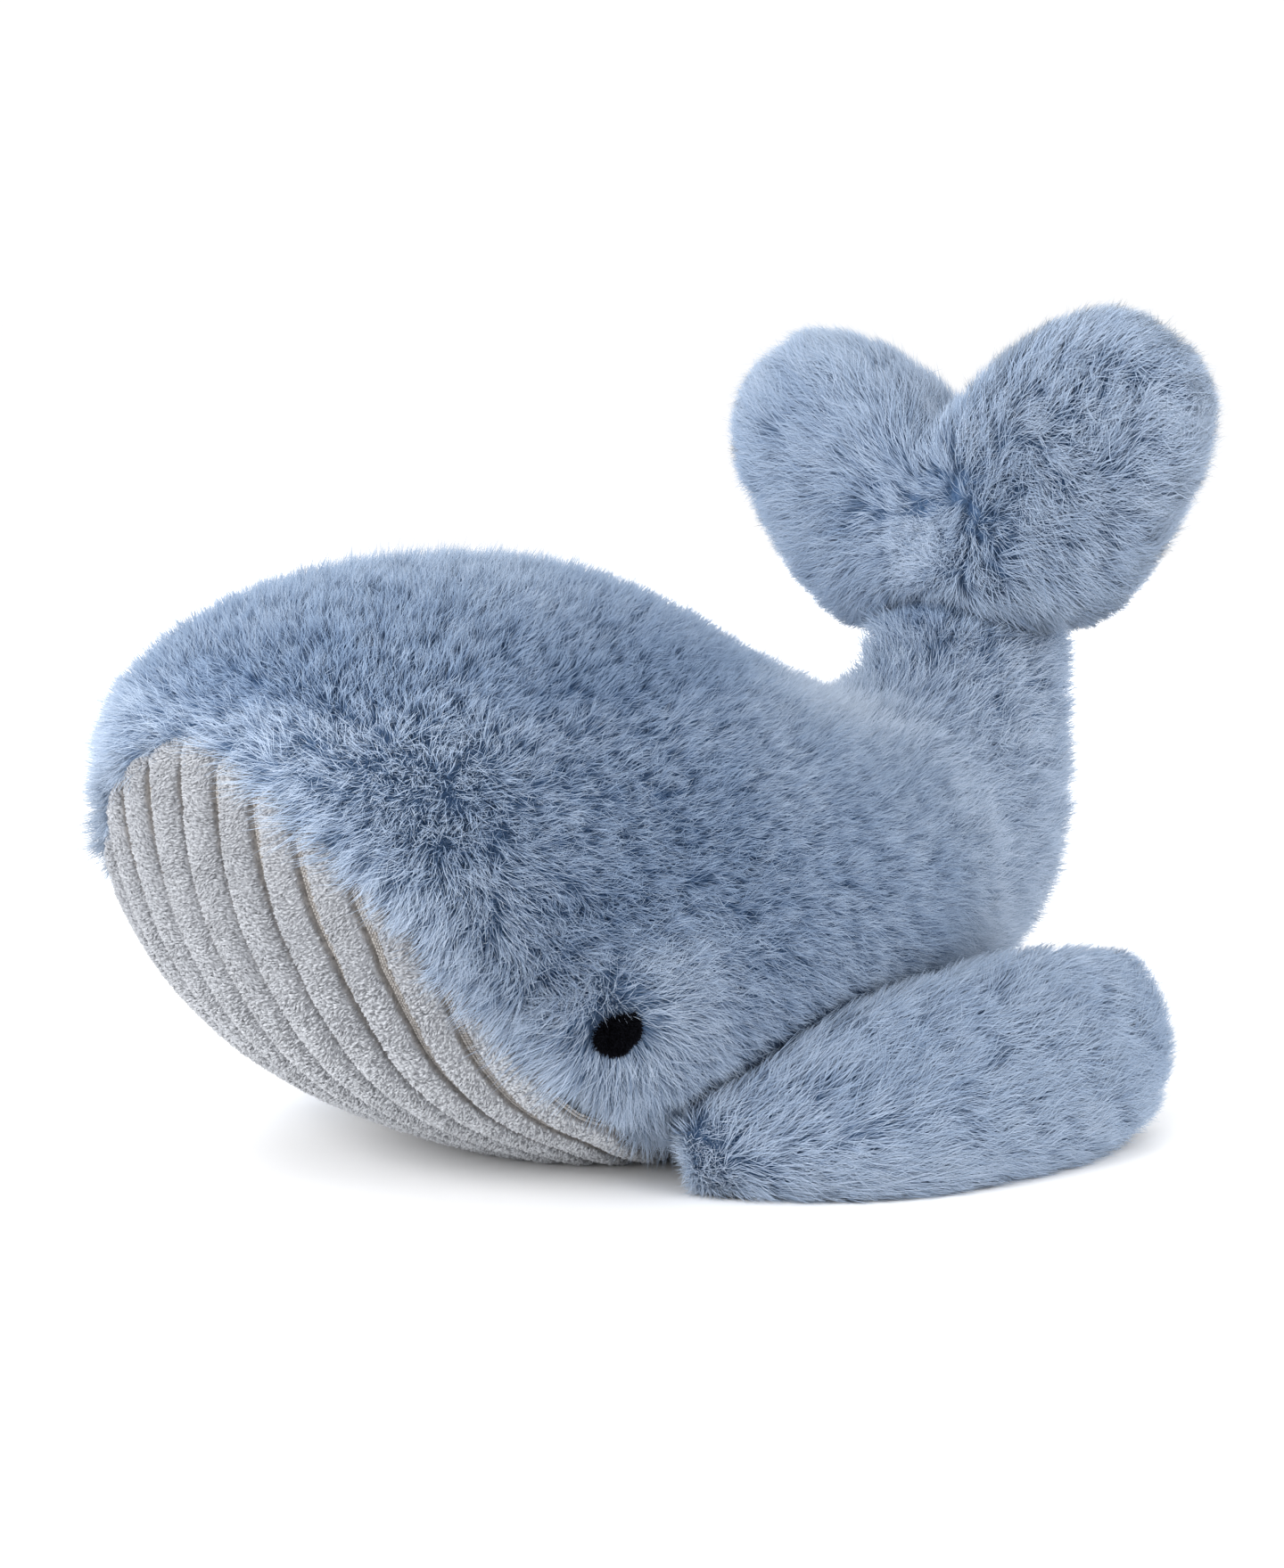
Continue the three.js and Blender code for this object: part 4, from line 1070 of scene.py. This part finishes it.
def put(label, coat, fuzz, mask_of, where, mat=None, v0=0.01):
    for ob in strands(label, **pieces_of(coat, mask_of(coat["root"])), v0=v0):
        finish_piece(ob, mat or fur_mat, where)
    for ob in spikes(label + "_short", **pieces_of(fuzz, mask_of(fuzz["root"]))):
        finish_piece(ob, mat or fur_mat, where)


def zone_of(r):
    return np.where(tail_side(r) < TAIL_SPLIT, 0, np.where((r[:, 2] < FLUKE_SPLIT) | (r[:, 1] < 130), 1, 2))


for k, (label, where) in enumerate((("body_pile", "root"), ("tail_pile", "tail"), ("tail_top_pile", "fluke_root"))):
    put(f"{label}_left", coat, fuzz, lambda r: (zone_of(r) == k) & (r[:, 0] >= 0), where)
    put(f"{label}_right", coat, fuzz, lambda r: (zone_of(r) == k) & (r[:, 0] < 0), where)


# ------------------------------------------------------------------ pile of the fluke
FLUKE_MIDDLE = FLUKE_AXIS + FLUKE_TURN @ np.array([0, 0, 30.0])


def fluke_flow(P, N, a, v):
    out = P - FLUKE_MIDDLE
    r = np.linalg.norm(out[:, [0, 2]], axis=-1)
    out[:, 1] = 0
    F = unit(out) * (0.55 + 1.05 * smooth(r, 5, 38))[:, None]
    # each lobe's pile sags a little
    return F + np.array([0, 0, -0.30])


def fluke_weight(A, B, P):
    middle = np.exp(-(np.linalg.norm((P - FLUKE_MIDDLE)[..., [0, 2]], axis=-1) / 17) ** 2)
    return 0.92 + 2.3 * middle + 0.50 * np.exp(-(B / 0.22) ** 2)


def fluke_tweak(P, N, F, lean, a, v, share, mess, proud):
    local = (P - FLUKE_AXIS) @ FLUKE_TURN
    root = (1 - smooth(local[:, 2], 0, 15)) * np.exp(-(local[:, 0] / 34) ** 2)
    r = np.linalg.norm((P - FLUKE_MIDDLE)[:, [0, 2]], axis=-1)
    lean = lean * (0.08 + 0.92 * smooth(r, 5, 36))
    # painted light and shade: darker in the crease at the fluke's root and on the -X lobe; lighter at the parting in
    # the middle and along the rim, over the shade where the roots show
    rim = np.exp(-(v / 0.22) ** 2)
    shade = -0.01 - 0.60 * root + 0.30 * (1 - smooth(r, 4, 22)) - 0.10 * smooth(-local[:, 0], 5, 40) + 0.16 * rim
    mess = mess + 1.8 * (1 - smooth(r, 5, 22))
    return lean, 1 - 0.15 * root, np.ones(len(P), bool), shade, mess, proud


coat, fuzz = grow(fluke_point, fluke_normal, fluke_flow, (0, 1), (-0.998, 0.998), (360, 60), rng, 8.0 - 0.3, 19.0, 54,
                  swirl=(0.50, 0.24, 0.16), lock=10.5, lock_pull=0.25, proud=1.2, mess=0.62,
                  weight=fluke_weight, tweak=fluke_tweak)
coat = trim(coat, fluke_tree, 2.1, 7.7)
coat, fuzz = fit_beside(coat, fuzz, stalk_tree, lambda p: p[:, 2] < 182, keep=0.5)
# v0 starts these strands lighter at the root than the body's: painted light for pile that lies flatter and shows more
# of its shafts
put("fluke_pile_front", coat, fuzz, lambda r: r[:, 1] < 184, "fluke", v0=0.20)
put("fluke_pile_back", coat, fuzz, lambda r: r[:, 1] >= 184, "fluke", v0=0.20)


# ------------------------------------------------------------------ pile of the flippers
FLIP_SOURCE = flip_point(-0.7, 0.47)


def flip_flow(P, N, t, p):
    """Fans out over the outer face from the low front of the root, and runs towards the tip elsewhere."""
    _, d, w, n = flip_frame(np.clip(t, 0, FLIP_LAST))
    out = P - FLIP_SOURCE
    r = np.linalg.norm(out, axis=-1, keepdims=True)
    out = out / np.maximum(r, 1e-6) * (0.35 + 0.95 * smooth(r, 4, 34))
    outer = smooth(np.sin(2 * math.pi * p), -0.25, 0.35)[:, None]
    F = out * 1.15 * outer + d * (0.95 - 0.75 * outer)
    return F + w * (np.cos(2 * math.pi * p) * 0.25)[:, None]


def flip_weight(A, B, P):
    return np.where((np.sin(2 * math.pi * B) < -0.2) & (A < 4.5), 0.75, 1.0) * np.where(A < 0.5, 1.4, 1.0)


def flip_tweak(P, N, F, lean, t, p, share, mess, proud):
    r = np.linalg.norm(P - FLIP_SOURCE, axis=-1)
    # painted light: lighter low down, as if lit from the floor, and round the root end's parting, over the shade there
    shade = -0.08 + 0.18 * (1 - smooth(P[:, 2], 8, 34)) + 0.20 * (1 - smooth(r, 10, 34))
    lean = lean * (0.30 + 0.70 * smooth(r, 3, 26))
    mess = mess + 1.6 * (1 - smooth(r, 4, 16))
    return lean, np.ones(len(P)), np.ones(len(P), bool), shade, mess, proud


for side, sign in (("left", 1), ("right", -1)):
    coat, fuzz = grow(flip_point, flip_normal, flip_flow, (-0.97, 6.99), (0, 1), (160, 120), rng, 7.0 - 0.3, 18.0, 54,
                      swirl=(0.50, 0.24, 0.16), lock=10.5, lock_pull=0.25, proud=1.2, mess=0.62,
                      weight=flip_weight, tweak=flip_tweak, mirror=sign < 0)
    coat = trim(coat, flip_tree_left if sign > 0 else flip_tree_right, 1.9, 6.7)
    coat, fuzz = fit_beside(coat, fuzz, body_tree, lambda p: np.abs(p[:, 0]) < 125, keep=0.35, sink=-3.5)
    # v0 starts these strands lighter at the root than the body's: painted light for pile that lies flatter and shows
    # more of its shafts
    put(f"{side}_flipper_pile", coat, fuzz, lambda r: np.ones(len(r), bool), f"{side}_flipper", v0=0.16)


# ------------------------------------------------------------------ belly panel: ribs, grooves and their short pile
PITCH, FIRST = 18.3, -3.0
WANDER_T = [0.2, 1.0, 1.4, 1.85, 2.2, 2.5, 2.8, 3.05, 3.4]
WANDER = [0.4, 0.2, -1.4, -3.0, -3.0, -1.4, 1.2, 3.4, 3.8]
_w = np.interp(np.linspace(-1, 5, 601), WANDER_T, WANDER)
_g = np.exp(-(np.linspace(-0.6, 0.6, 121) / 0.34) ** 2)
WANDER_T, WANDER = np.linspace(-1, 5, 601), np.convolve(np.pad(_w, 60, "edge"), _g / _g.sum(), "valid")
NARROW_T = [3.2, 3.5, 3.8, 4.1, 4.4, 4.7, 5.0, 5.25, 5.75, 6.25, 6.75, 7.25, 7.75, 8.0]
NARROW = [1, 0.97, 0.91, 0.85, 0.78, 0.73, 0.70, 0.64, 0.53, 0.42, 0.30, 0.18, 0.08, 0.05]
K_LOW, K_HIGH = -6, 6
TAB_T = np.linspace(0.04, PANEL_END, 300)
TAB_Q = np.linspace(0, 1, 70)
_phi = -math.pi / 2 + TAB_Q[None, :] * (np.minimum(panel_edge(TAB_T), -0.2)[:, None] + math.pi / 2)
_P = body_point(TAB_T[:, None], _phi)
TAB_S = np.concatenate([np.zeros((len(TAB_T), 1)),
                        np.cumsum(np.linalg.norm(np.diff(_P, axis=1), axis=-1), 1)], 1)


def rows_at(t):
    i = np.clip((t - TAB_T[0]) / (TAB_T[1] - TAB_T[0]), 0, len(TAB_T) - 1.001)
    k = i.astype(int)
    f = (i - k)[..., None]
    return TAB_S[k] * (1 - f) + TAB_S[k + 1] * f


def reach_at(t):
    return rows_at(np.asarray(t, float))[..., -1]


def phi_at(t, s):
    """The angle round the section at s millimetres from the keel, clamped to the panel's seams."""
    shape = np.broadcast(t, s).shape
    t, s = np.broadcast_to(t, shape).ravel(), np.broadcast_to(s, shape).ravel()
    out = np.zeros(len(t))
    for c in range(0, len(t), 40000):
        tt, ss = t[c:c + 40000], np.abs(s[c:c + 40000])
        rows = rows_at(tt)
        k = np.clip((rows < ss[:, None]).sum(1) - 1, 0, len(TAB_Q) - 2)
        at = np.arange(len(tt))
        lo, hi = rows[at, k], rows[at, k + 1]
        q = (k + np.clip((ss - lo) / np.maximum(hi - lo, 1e-9), 0, 1)) / (len(TAB_Q) - 1)
        out[c:c + 40000] = -math.pi / 2 + q * (np.minimum(panel_edge(tt), -0.2) + math.pi / 2)
    out = np.where(s < 0, -math.pi - out, out)
    return out.reshape(shape)


def groove_s(t, k):
    w = np.interp(t, WANDER_T, WANDER)
    w = w * np.where(t > 2.6, 1 - k / 4.0 * smooth(t, 2.6, 3.0), 1.0)
    return (FIRST + PITCH * k + w) * np.interp(t, NARROW_T, NARROW, left=1.0)


def ground_half(t, k):
    """Half the width of the ground that shows in groove k: wider where the groove comes near either seam."""
    left = reach_at(t) - np.abs(groove_s(t, k))
    return np.interp(t, NARROW_T, NARROW, left=1.0) * (0.34 + 1.85 * (1 - smooth(left, 12, 56)) * smooth(t, 0.4, 1.1))


RIB_HIGH, RIB_TOP = 5.5, 0.8


def rib_depth(t, s):
    """How far below the envelope the ribbed cloth lies, and how much it is groove ground, at s from the keel."""
    t, s = np.broadcast_arrays(np.asarray(t, float), np.asarray(s, float))
    best = np.full(t.shape, 1e9)
    width = np.full(t.shape, 1.0)
    for k in range(K_LOW, K_HIGH):
        s0, s1 = groove_s(t, k), groove_s(t, k + 1)
        here = (s >= s0) & (s < s1)
        lo, hi = s0 + ground_half(t, k), s1 - ground_half(t, k + 1)
        best = np.where(here, np.minimum(s - lo, hi - s), best)
        width = np.where(here, np.maximum(hi - lo, 0.5), width)
    best = np.where(best > 1e8, 0, best)
    x = np.clip(best / (width / 2), 0, 1)
    high = RIB_HIGH * np.minimum(1.0, width / 15.0) * (0.66 + 0.34 * smooth(reach_at(t) - np.abs(s), 14, 52))
    h = high * np.sqrt(np.maximum(0, 1 - (1 - x) ** 2.1))
    tuck = np.clip(1 - (reach_at(t) - np.abs(s)) / 6.0, 0, 1)
    front = np.clip(1 - (t - 0.1) / 0.25, 0, 1)
    depth = RIB_TOP + high - h + 4.0 * tuck ** 2 + 3.5 * front ** 2
    return np.minimum(depth, PILE - 1.4), np.clip(1 - best / 1.3, 0, 1), best


def panel_point(t, s, lift=0.0):
    phi = phi_at(t, s)
    d, _, _ = rib_depth(t, s)
    P = body_point(t, phi) - body_normal(t, phi) * (d - lift)[..., None]
    P[..., 2] = np.maximum(P[..., 2], 0.9)
    return P


def panel_frame(t, s):
    """Place on the ribbed cloth, its normal, the direction along the ribs and the one across them."""
    P = panel_point(t, s)
    a = unit(panel_point(np.minimum(t + 0.02, PANEL_END - 0.01), s) - panel_point(np.maximum(t - 0.02, 0.05), s))
    c = unit(panel_point(t, s + 0.5) - panel_point(t, s - 0.5))
    n = unit(np.cross(a, c))
    n = np.where(dot(n, body_normal(t, phi_at(t, s)))[:, None] < 0, -n, n)
    return P, n, a, c


keel = np.cumsum(np.concatenate([[0], np.linalg.norm(np.diff(_P[:, 0], axis=0), axis=-1)]))
t_of = lambda mm: np.interp(mm, keel, TAB_T)
mm_of = lambda t: np.interp(t, TAB_T, keel)
split_mm = mm_of(5.4)
steps = np.concatenate([np.arange(mm_of(0.08), split_mm, 0.95 if DENSITY == 1 else 2.5),
                        np.arange(split_mm, mm_of(7.95), 2.2)])
TR = t_of(steps)
cols = []
for k in range(K_LOW, K_HIGH):
    g0, g1 = groove_s(TR, k), groove_s(TR, k + 1)
    h0, h1 = ground_half(TR, k), ground_half(TR, k + 1)
    inner_w = np.maximum(g1 - h1 - g0 - h0, 0.05)
    cols.append(g0)
    for x in (1 - np.cos(np.linspace(0, math.pi, 11))) / 2:
        cols.append(g0 + h0 + inner_w * x)
cols.append(groove_s(TR, K_HIGH))
SC = np.stack(cols, -1)
limit = reach_at(TR)[:, None]
inside_edge = np.abs(SC) < limit
SC = np.clip(SC, -limit, limit)
TC = TR[:, None] + 0 * SC
depth_c, ground_c, _ = rib_depth(TC, SC)
phi_c2 = phi_at(TC, SC)
PB, NB = body_point(TC, phi_c2), body_normal(TC, phi_c2)
# crushed pile: short ridges across the ribs
across = np.stack([TC * 0 + mm_of(TR)[:, None], SC * 0.34, 0 * SC], -1)
crush = 0.16 * noise(across, 1.9, 201) + 0.10 * noise(across, 4.2, 202)
OUTER = PB - NB * (depth_c - crush * (1 - ground_c))[..., None]
INNER = PB - NB * np.minimum(depth_c + 1.0, PILE - 0.15)[..., None]
OUTER[..., 2] = np.maximum(OUTER[..., 2], 0.6)
INNER[..., 2] = np.maximum(INNER[..., 2], 1.5)
keep = inside_edge[:-1, :-1] | inside_edge[1:, :-1] | inside_edge[:-1, 1:] | inside_edge[1:, 1:]
ob = grid_mesh("belly_cover", OUTER, keep, inner=INNER, flip=True, attribute=("groove", ground_c))
finish_piece(ob, panel_mat, "root", ["belly_panel"])

# short crinkled pile lying across the ribs
def panel_places(per_mm2):
    q_point = lambda t, q: body_point(t, np.where(q >= 0, 1, -1) * 0 + phi_at(t, q * reach_at(t)))
    t, q = sample_surface(q_point, (0.12, PANEL_END - 0.15), (-1, 1), (200, 80), per_mm2 * DENSITY, rng,
                          weight=lambda A, B, P: np.where(A > 5.6, 0.35, 1.0))
    return t, q * reach_at(t)


def keep_places(t, s, limit=0.25):
    _, ground, room = rib_depth(t, s)
    alive = ground < limit
    return t[alive], s[alive], room[alive]


t, s, room = keep_places(*panel_places(1.0), limit=0.35)
P, N, A, C = panel_frame(t, s)
n = len(P)
way = np.where(rng.random(n) < 0.5, -1, 1)[:, None]
yaw = (rng.normal(0, 0.22, n) + 1.0 * noise(P, 6, 205))[:, None]
D = unit(C * np.cos(yaw) + A * np.sin(yaw)) * way
L = np.minimum((3.7 * (1 + 0.25 * rng.normal(0, 1, n))).clip(1.8, 5.2), 1.1 + 1.5 * room)[:, None]
w = WIDEN * 0.98 * (1 + 0.20 * rng.normal(0, 1, n)).clip(0.6, 1.5)
# painted light: the locks are lighter towards the bottom, against the shade under the belly; the noise terms are random
# tone
locks = dict(root=P - N * 0.25 - D * L * 0.4, along0=unit(D + N * 1.3) * L, along1=unit(D - N * 1.2) * L, pull=0 * P,
             width=w, face_normal=N,
             tint=np.clip(0.24 + 0.76 * (1 - smooth(P[:, 2], 8, 95)) + 0.10 * noise(P, 12, 206) + 0.12 * rng.normal(0, 1, n),
                          0.02, 0.98))
for ob in strands("belly_pile", **locks, v0=0.05, v1=0.99, skin=0.50, round_=0.90):
    finish_piece(ob, rib_pile_mat, "root")
t, s, room = keep_places(*panel_places(1.3))
P, N, A, C = panel_frame(t, s)
n = len(P)
lie = C * rng.normal(0, 0.75, n)[:, None] + A * rng.normal(0, 0.45, n)[:, None]
d = unit(N * 0.75 + lie)
L = np.minimum((1.15 * (1 + 0.25 * rng.normal(0, 1, n))).clip(0.5, 1.7), 0.5 + room)[:, None]
for ob in spikes("belly_pile_short", P - N * 0.2, P + d * L, WIDEN * 0.36 * (1 + 0.2 * rng.normal(0, 1, n)).clip(0.5, 1.5),
                 N, np.clip(0.5 + 0.10 * noise(P, 12, 206) + 0.12 * rng.normal(0, 1, n), 0.02, 0.98), v0=0.05, v1=0.60):
    finish_piece(ob, rib_pile_mat, "root")

# knitted loops of the ground, where it shows in the grooves
ICO = np.array([(0, 0, 1), (0.894, 0, 0.447), (0.276, 0.851, 0.447), (-0.724, 0.526, 0.447), (-0.724, -0.526, 0.447),
                (0.276, -0.851, 0.447), (0.724, 0.526, -0.447), (-0.276, 0.851, -0.447), (-0.894, 0, -0.447),
                (-0.276, -0.851, -0.447), (0.724, -0.526, -0.447), (0, 0, -1)])
ICO_F = np.array([(0, 1, 2), (0, 2, 3), (0, 3, 4), (0, 4, 5), (0, 5, 1), (1, 6, 2), (2, 7, 3), (3, 8, 4), (4, 9, 5),
                  (5, 10, 1), (6, 7, 2), (7, 8, 3), (8, 9, 4), (9, 10, 5), (10, 6, 1), (11, 7, 6), (11, 8, 7),
                  (11, 9, 8), (11, 10, 9), (11, 6, 10)])
bead_t, bead_s = [], []
for k in range(K_LOW, K_HIGH + 1):
    mm = np.arange(mm_of(0.25), mm_of(5.2), 1.25)
    tt = t_of(mm)
    ss, half = groove_s(tt, k), ground_half(tt, k)
    for lane, offset in ((-1, 0.0), (0, 0.5), (1, 0.0)):
        tl = t_of(mm + offset * 1.25)
        ok = (half > (0.62 if lane else 0.45)) & (np.abs(ss) < reach_at(tt) - 1.5)
        bead_t.append(tl[ok])
        bead_s.append((ss + lane * np.minimum(half * 0.62, 0.95))[ok])
bead_t, bead_s = np.concatenate(bead_t), np.concatenate(bead_s)
P, N, A, C = panel_frame(bead_t, bead_s)
turn = rng.normal(0, 0.25, len(P))[:, None]
A, C = A * np.cos(turn) + C * np.sin(turn), C * np.cos(turn) - A * np.sin(turn)
size = 1 + 0.12 * rng.normal(0, 1, (len(P), 1))
V = (P[:, None] + (A * size)[:, None] * ICO[None, :, :1] * 0.66 + (C * size)[:, None] * ICO[None, :, 1:2] * 0.46
     + (N * size)[:, None] * ICO[None, :, 2:] * 0.42)
V[..., 2] = np.maximum(V[..., 2], 0.4)
loops = ((np.arange(len(P)) * 12)[:, None] + ICO_F.ravel()[None, :]).ravel()
ob = new_mesh("belly_knit_loops", row_frame(V.reshape(-1, 3)), loops, np.arange(len(P) * 20) * 3)
finish_piece(ob, stitch_mat, "root")

# ------------------------------------------------------------------ eyes of short black pile
for side, sign in (("left", 1), ("right", -1)):
    n0 = eye_normal
    along = unit(np.array([0, 1.0, 0]) - n0 * n0[1])
    up = np.cross(n0, along)
    if up[2] < 0:
        up = -up
    # the oval leans a little forward at the top
    lean = math.radians(24)
    long_axis, short_axis = up * math.cos(lean) + along * math.sin(lean), along * math.cos(lean) - up * math.sin(lean)
    centre = eye_at - n0 * 2.3
    a, b = np.meshgrid(np.linspace(0, 2 * math.pi, 49)[:-1], np.linspace(0.0, 1.0, 14), indexing="ij")

    def eye_point(a, b, grow_by=0.0):
        """a: turn, b: 0 in the middle of the front to 1 at the back rim."""
        ang = b * 1.75
        edge = 1 + 0.05 * np.sin(3 * a + 0.6) + 0.035 * np.sin(5 * a + 2.0)
        u, v, w = np.sin(ang) * np.cos(a) * edge, np.sin(ang) * np.sin(a) * edge, np.cos(ang)
        return (centre + long_axis * (u * (7.0 + grow_by))[..., None] + short_axis * (v * (6.3 + grow_by))[..., None]
                + n0 * (w * (3.6 + grow_by))[..., None])

    G, I = eye_point(a, b), eye_point(a, b, -1.0)
    G, I = np.swapaxes(G, 0, 1)[1:] * (sign, 1, 1), np.swapaxes(I, 0, 1)[1:] * (sign, 1, 1)
    ob = grid_mesh(f"eye_ground_{side}", G, closed=True, inner=I, flip=sign < 0)
    finish_piece(ob, eye_base_mat, "root", [f"eye_{side}"])
    m = int(2600 * (1 if DENSITY == 1 else 0.5))
    a, b = rng.random(m) * 2 * math.pi, np.sqrt(rng.random(m)) * 0.95
    P = eye_point(a, b)
    N = unit(np.cross(eye_point(a, b + 0.01) - P, eye_point(a + 0.01, b) - P))
    N = np.where(dot(N, P - centre)[:, None] < 0, -N, N)
    d0 = unit(N + 0.30 * rng.normal(0, 1, (m, 3)))
    d1 = unit(N + 0.70 * rng.normal(0, 1, (m, 3)))
    L = (2.2 * (1 + 0.28 * rng.normal(0, 1, m))).clip(0.9, 3.4)[:, None]
    flip3 = np.array([sign, 1, 1])
    for ob in strands(f"eye_pile_{side}", (P - N * 0.2) * flip3, d0 * L * flip3, d1 * L * flip3, 0 * P,
                      WIDEN * 0.30 * (1 + 0.2 * rng.normal(0, 1, m)).clip(0.5, 1.5), N * flip3,
                      np.clip(0.5 + 0.25 * rng.normal(0, 1, m), 0.02, 0.98)):
        finish_piece(ob, eye_pile_mat, "root")


# ------------------------------------------------------------------ filling, pouch and pellets
def lumpy_filling(node, name, where, bvh, least):
    """The space that the filling holds, as soft clumps of fibre kept least millimetres under the pile's tips."""
    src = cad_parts[node]
    me = src.data.copy()
    ob = bpy.data.objects.new(name + "_form", me)
    scene.collection.objects.link(ob)
    ob.matrix_world = src.matrix_world
    mod = ob.modifiers.new("remesh", "REMESH")
    mod.mode, mod.voxel_size, mod.use_smooth_shade = "VOXEL", 0.0042, True
    deps = bpy.context.evaluated_depsgraph_get()
    new = bpy.data.meshes.new_from_object(ob.evaluated_get(deps))
    k = len(new.vertices)
    co, no = np.zeros(k * 3, np.float32), np.zeros(k * 3, np.float32)
    new.vertices.foreach_get("co", co)
    new.vertex_normals.foreach_get("vector", no)
    co, no = co.reshape(-1, 3).astype(float), no.reshape(-1, 3).astype(float)
    mm = co * 1000.0
    mm[:, 1] -= SHIFT_Y
    clump = 1 - np.abs(noise(mm, 13, 301)) ** 0.7
    fine = noise(mm, 5.5, 302)
    mm = mm - no * (0.9 + 2.1 * clump + 0.5 * fine)[:, None]
    d, at, nn = outward(bvh, mm)
    low = d > -least
    mm[low] = at[low] - nn[low] * least
    new.vertices.foreach_set("co", row_frame(mm).astype(np.float32).ravel())
    new.update()
    bpy.data.objects.remove(ob)
    out = bpy.data.objects.new(name, new)
    scene.collection.objects.link(out)
    return finish_piece(out, fibre_mat, where, [node])


lumpy_filling("body_stuffing", "body_filling", "tail", body_tree, 12.8)
lumpy_filling("tail_stuffing", "tail_filling", "tail", body_tree, 12.5)
lumpy_filling("fluke_stuffing", "fluke_filling", "fluke", fluke_tree, 9.5)
lumpy_filling("left_flipper_stuffing", "left_flipper_filling", "left_flipper", flip_tree_left, 8.6)
lumpy_filling("right_flipper_stuffing", "right_flipper_filling", "right_flipper", flip_tree_right, 8.6)

POUCH_Y, POUCH_Z, POUCH_A, POUCH_B, POUCH_WALL, POUCH_HIGH = 22, 12.5, 42, 54, 8, 34


def pouch_disc(name, upper, nodes):
    """One disc of the pouch: domed, with gathers running in from the sewn rim, and a flat rim outside the seam."""
    f = np.linspace(0, 2 * math.pi, 121)[:-1]
    r = np.concatenate([np.linspace(0.04, 0.9, 22), np.linspace(0.93, 1.0, 5)])
    R, Fa = r[:, None] + 0 * f, f + 0 * r[:, None]
    e = 2 / 2.4
    ca, sa = np.cos(Fa), np.sin(Fa)
    x, y = np.sign(ca) * np.abs(ca) ** e, np.sign(sa) * np.abs(sa) ** e
    body = np.clip(R / 0.93, 0, 1)
    gather = (np.sin(Fa * 23 + 0.8 * np.sin(Fa * 5)) * 0.6 + np.sin(Fa * 37 + 1.3) * 0.35) * body ** 5 * np.where(R > 0.9, 0.3, 1)
    seam = POUCH_Z + POUCH_WALL
    if upper:
        z = seam + 0.4 + (POUCH_HIGH - POUCH_WALL - 1.2) * np.sqrt(np.maximum(0, 1 - body ** 2.3)) + gather
    else:
        z = seam - 0.4 - (POUCH_WALL - 0.9) * np.maximum(0, 1 - body ** 5) ** 0.7 - gather * 0.35
    pts = np.stack([x * R * (POUCH_A - 0.4), POUCH_Y + y * R * (POUCH_B - 0.4), z], -1)
    low = pts - np.array([0, 0, 0.9])
    ob = grid_mesh(name, pts, closed=True, inner=low, flip=True)
    return finish_piece(ob, pouch_mat, "root", nodes)


pouch_disc("pouch_upper_disc", True, ["pellet_pouch_upper"])
pouch_disc("pouch_lower_disc", False, ["pellet_pouch_lower"])

step = 4.15
gx, gy, gz = np.meshgrid(np.arange(-10, 11), np.arange(-15, 16), np.arange(0, 8), indexing="ij")
pts = np.stack([gx * step + (gy % 2 + gz % 2) * step / 2, POUCH_Y + gy * step * 0.87 + (gz % 2) * 1.2,
                POUCH_Z + 4.0 + gz * step * 0.82], -1).reshape(-1, 3)
pts = pts + noise3(pts, 3.1, 401) * 0.35
body = ((np.abs(pts[:, 0]) / (POUCH_A - 3.6)) ** 2.4 + (np.abs(pts[:, 1] - POUCH_Y) / (POUCH_B - 3.6)) ** 2.4)
top = POUCH_Z + POUCH_WALL + (POUCH_HIGH - POUCH_WALL - 1.2) * np.sqrt(np.maximum(0, 1 - np.clip(body ** (1 / 2.4) / 0.93, 0, 1) ** 2.3)) - 3.6
pts = pts[(body < 0.80) & (pts[:, 2] < top)]
V = pts[:, None] + ICO[None] * 1.95
loops = ((np.arange(len(pts)) * 12)[:, None] + ICO_F.ravel()[None, :]).ravel()
ob = new_mesh("pellet_beads", row_frame(V.reshape(-1, 3)), loops, np.arange(len(pts) * 20) * 3)
finish_piece(ob, pellet_mat, "root", ["pellets"])
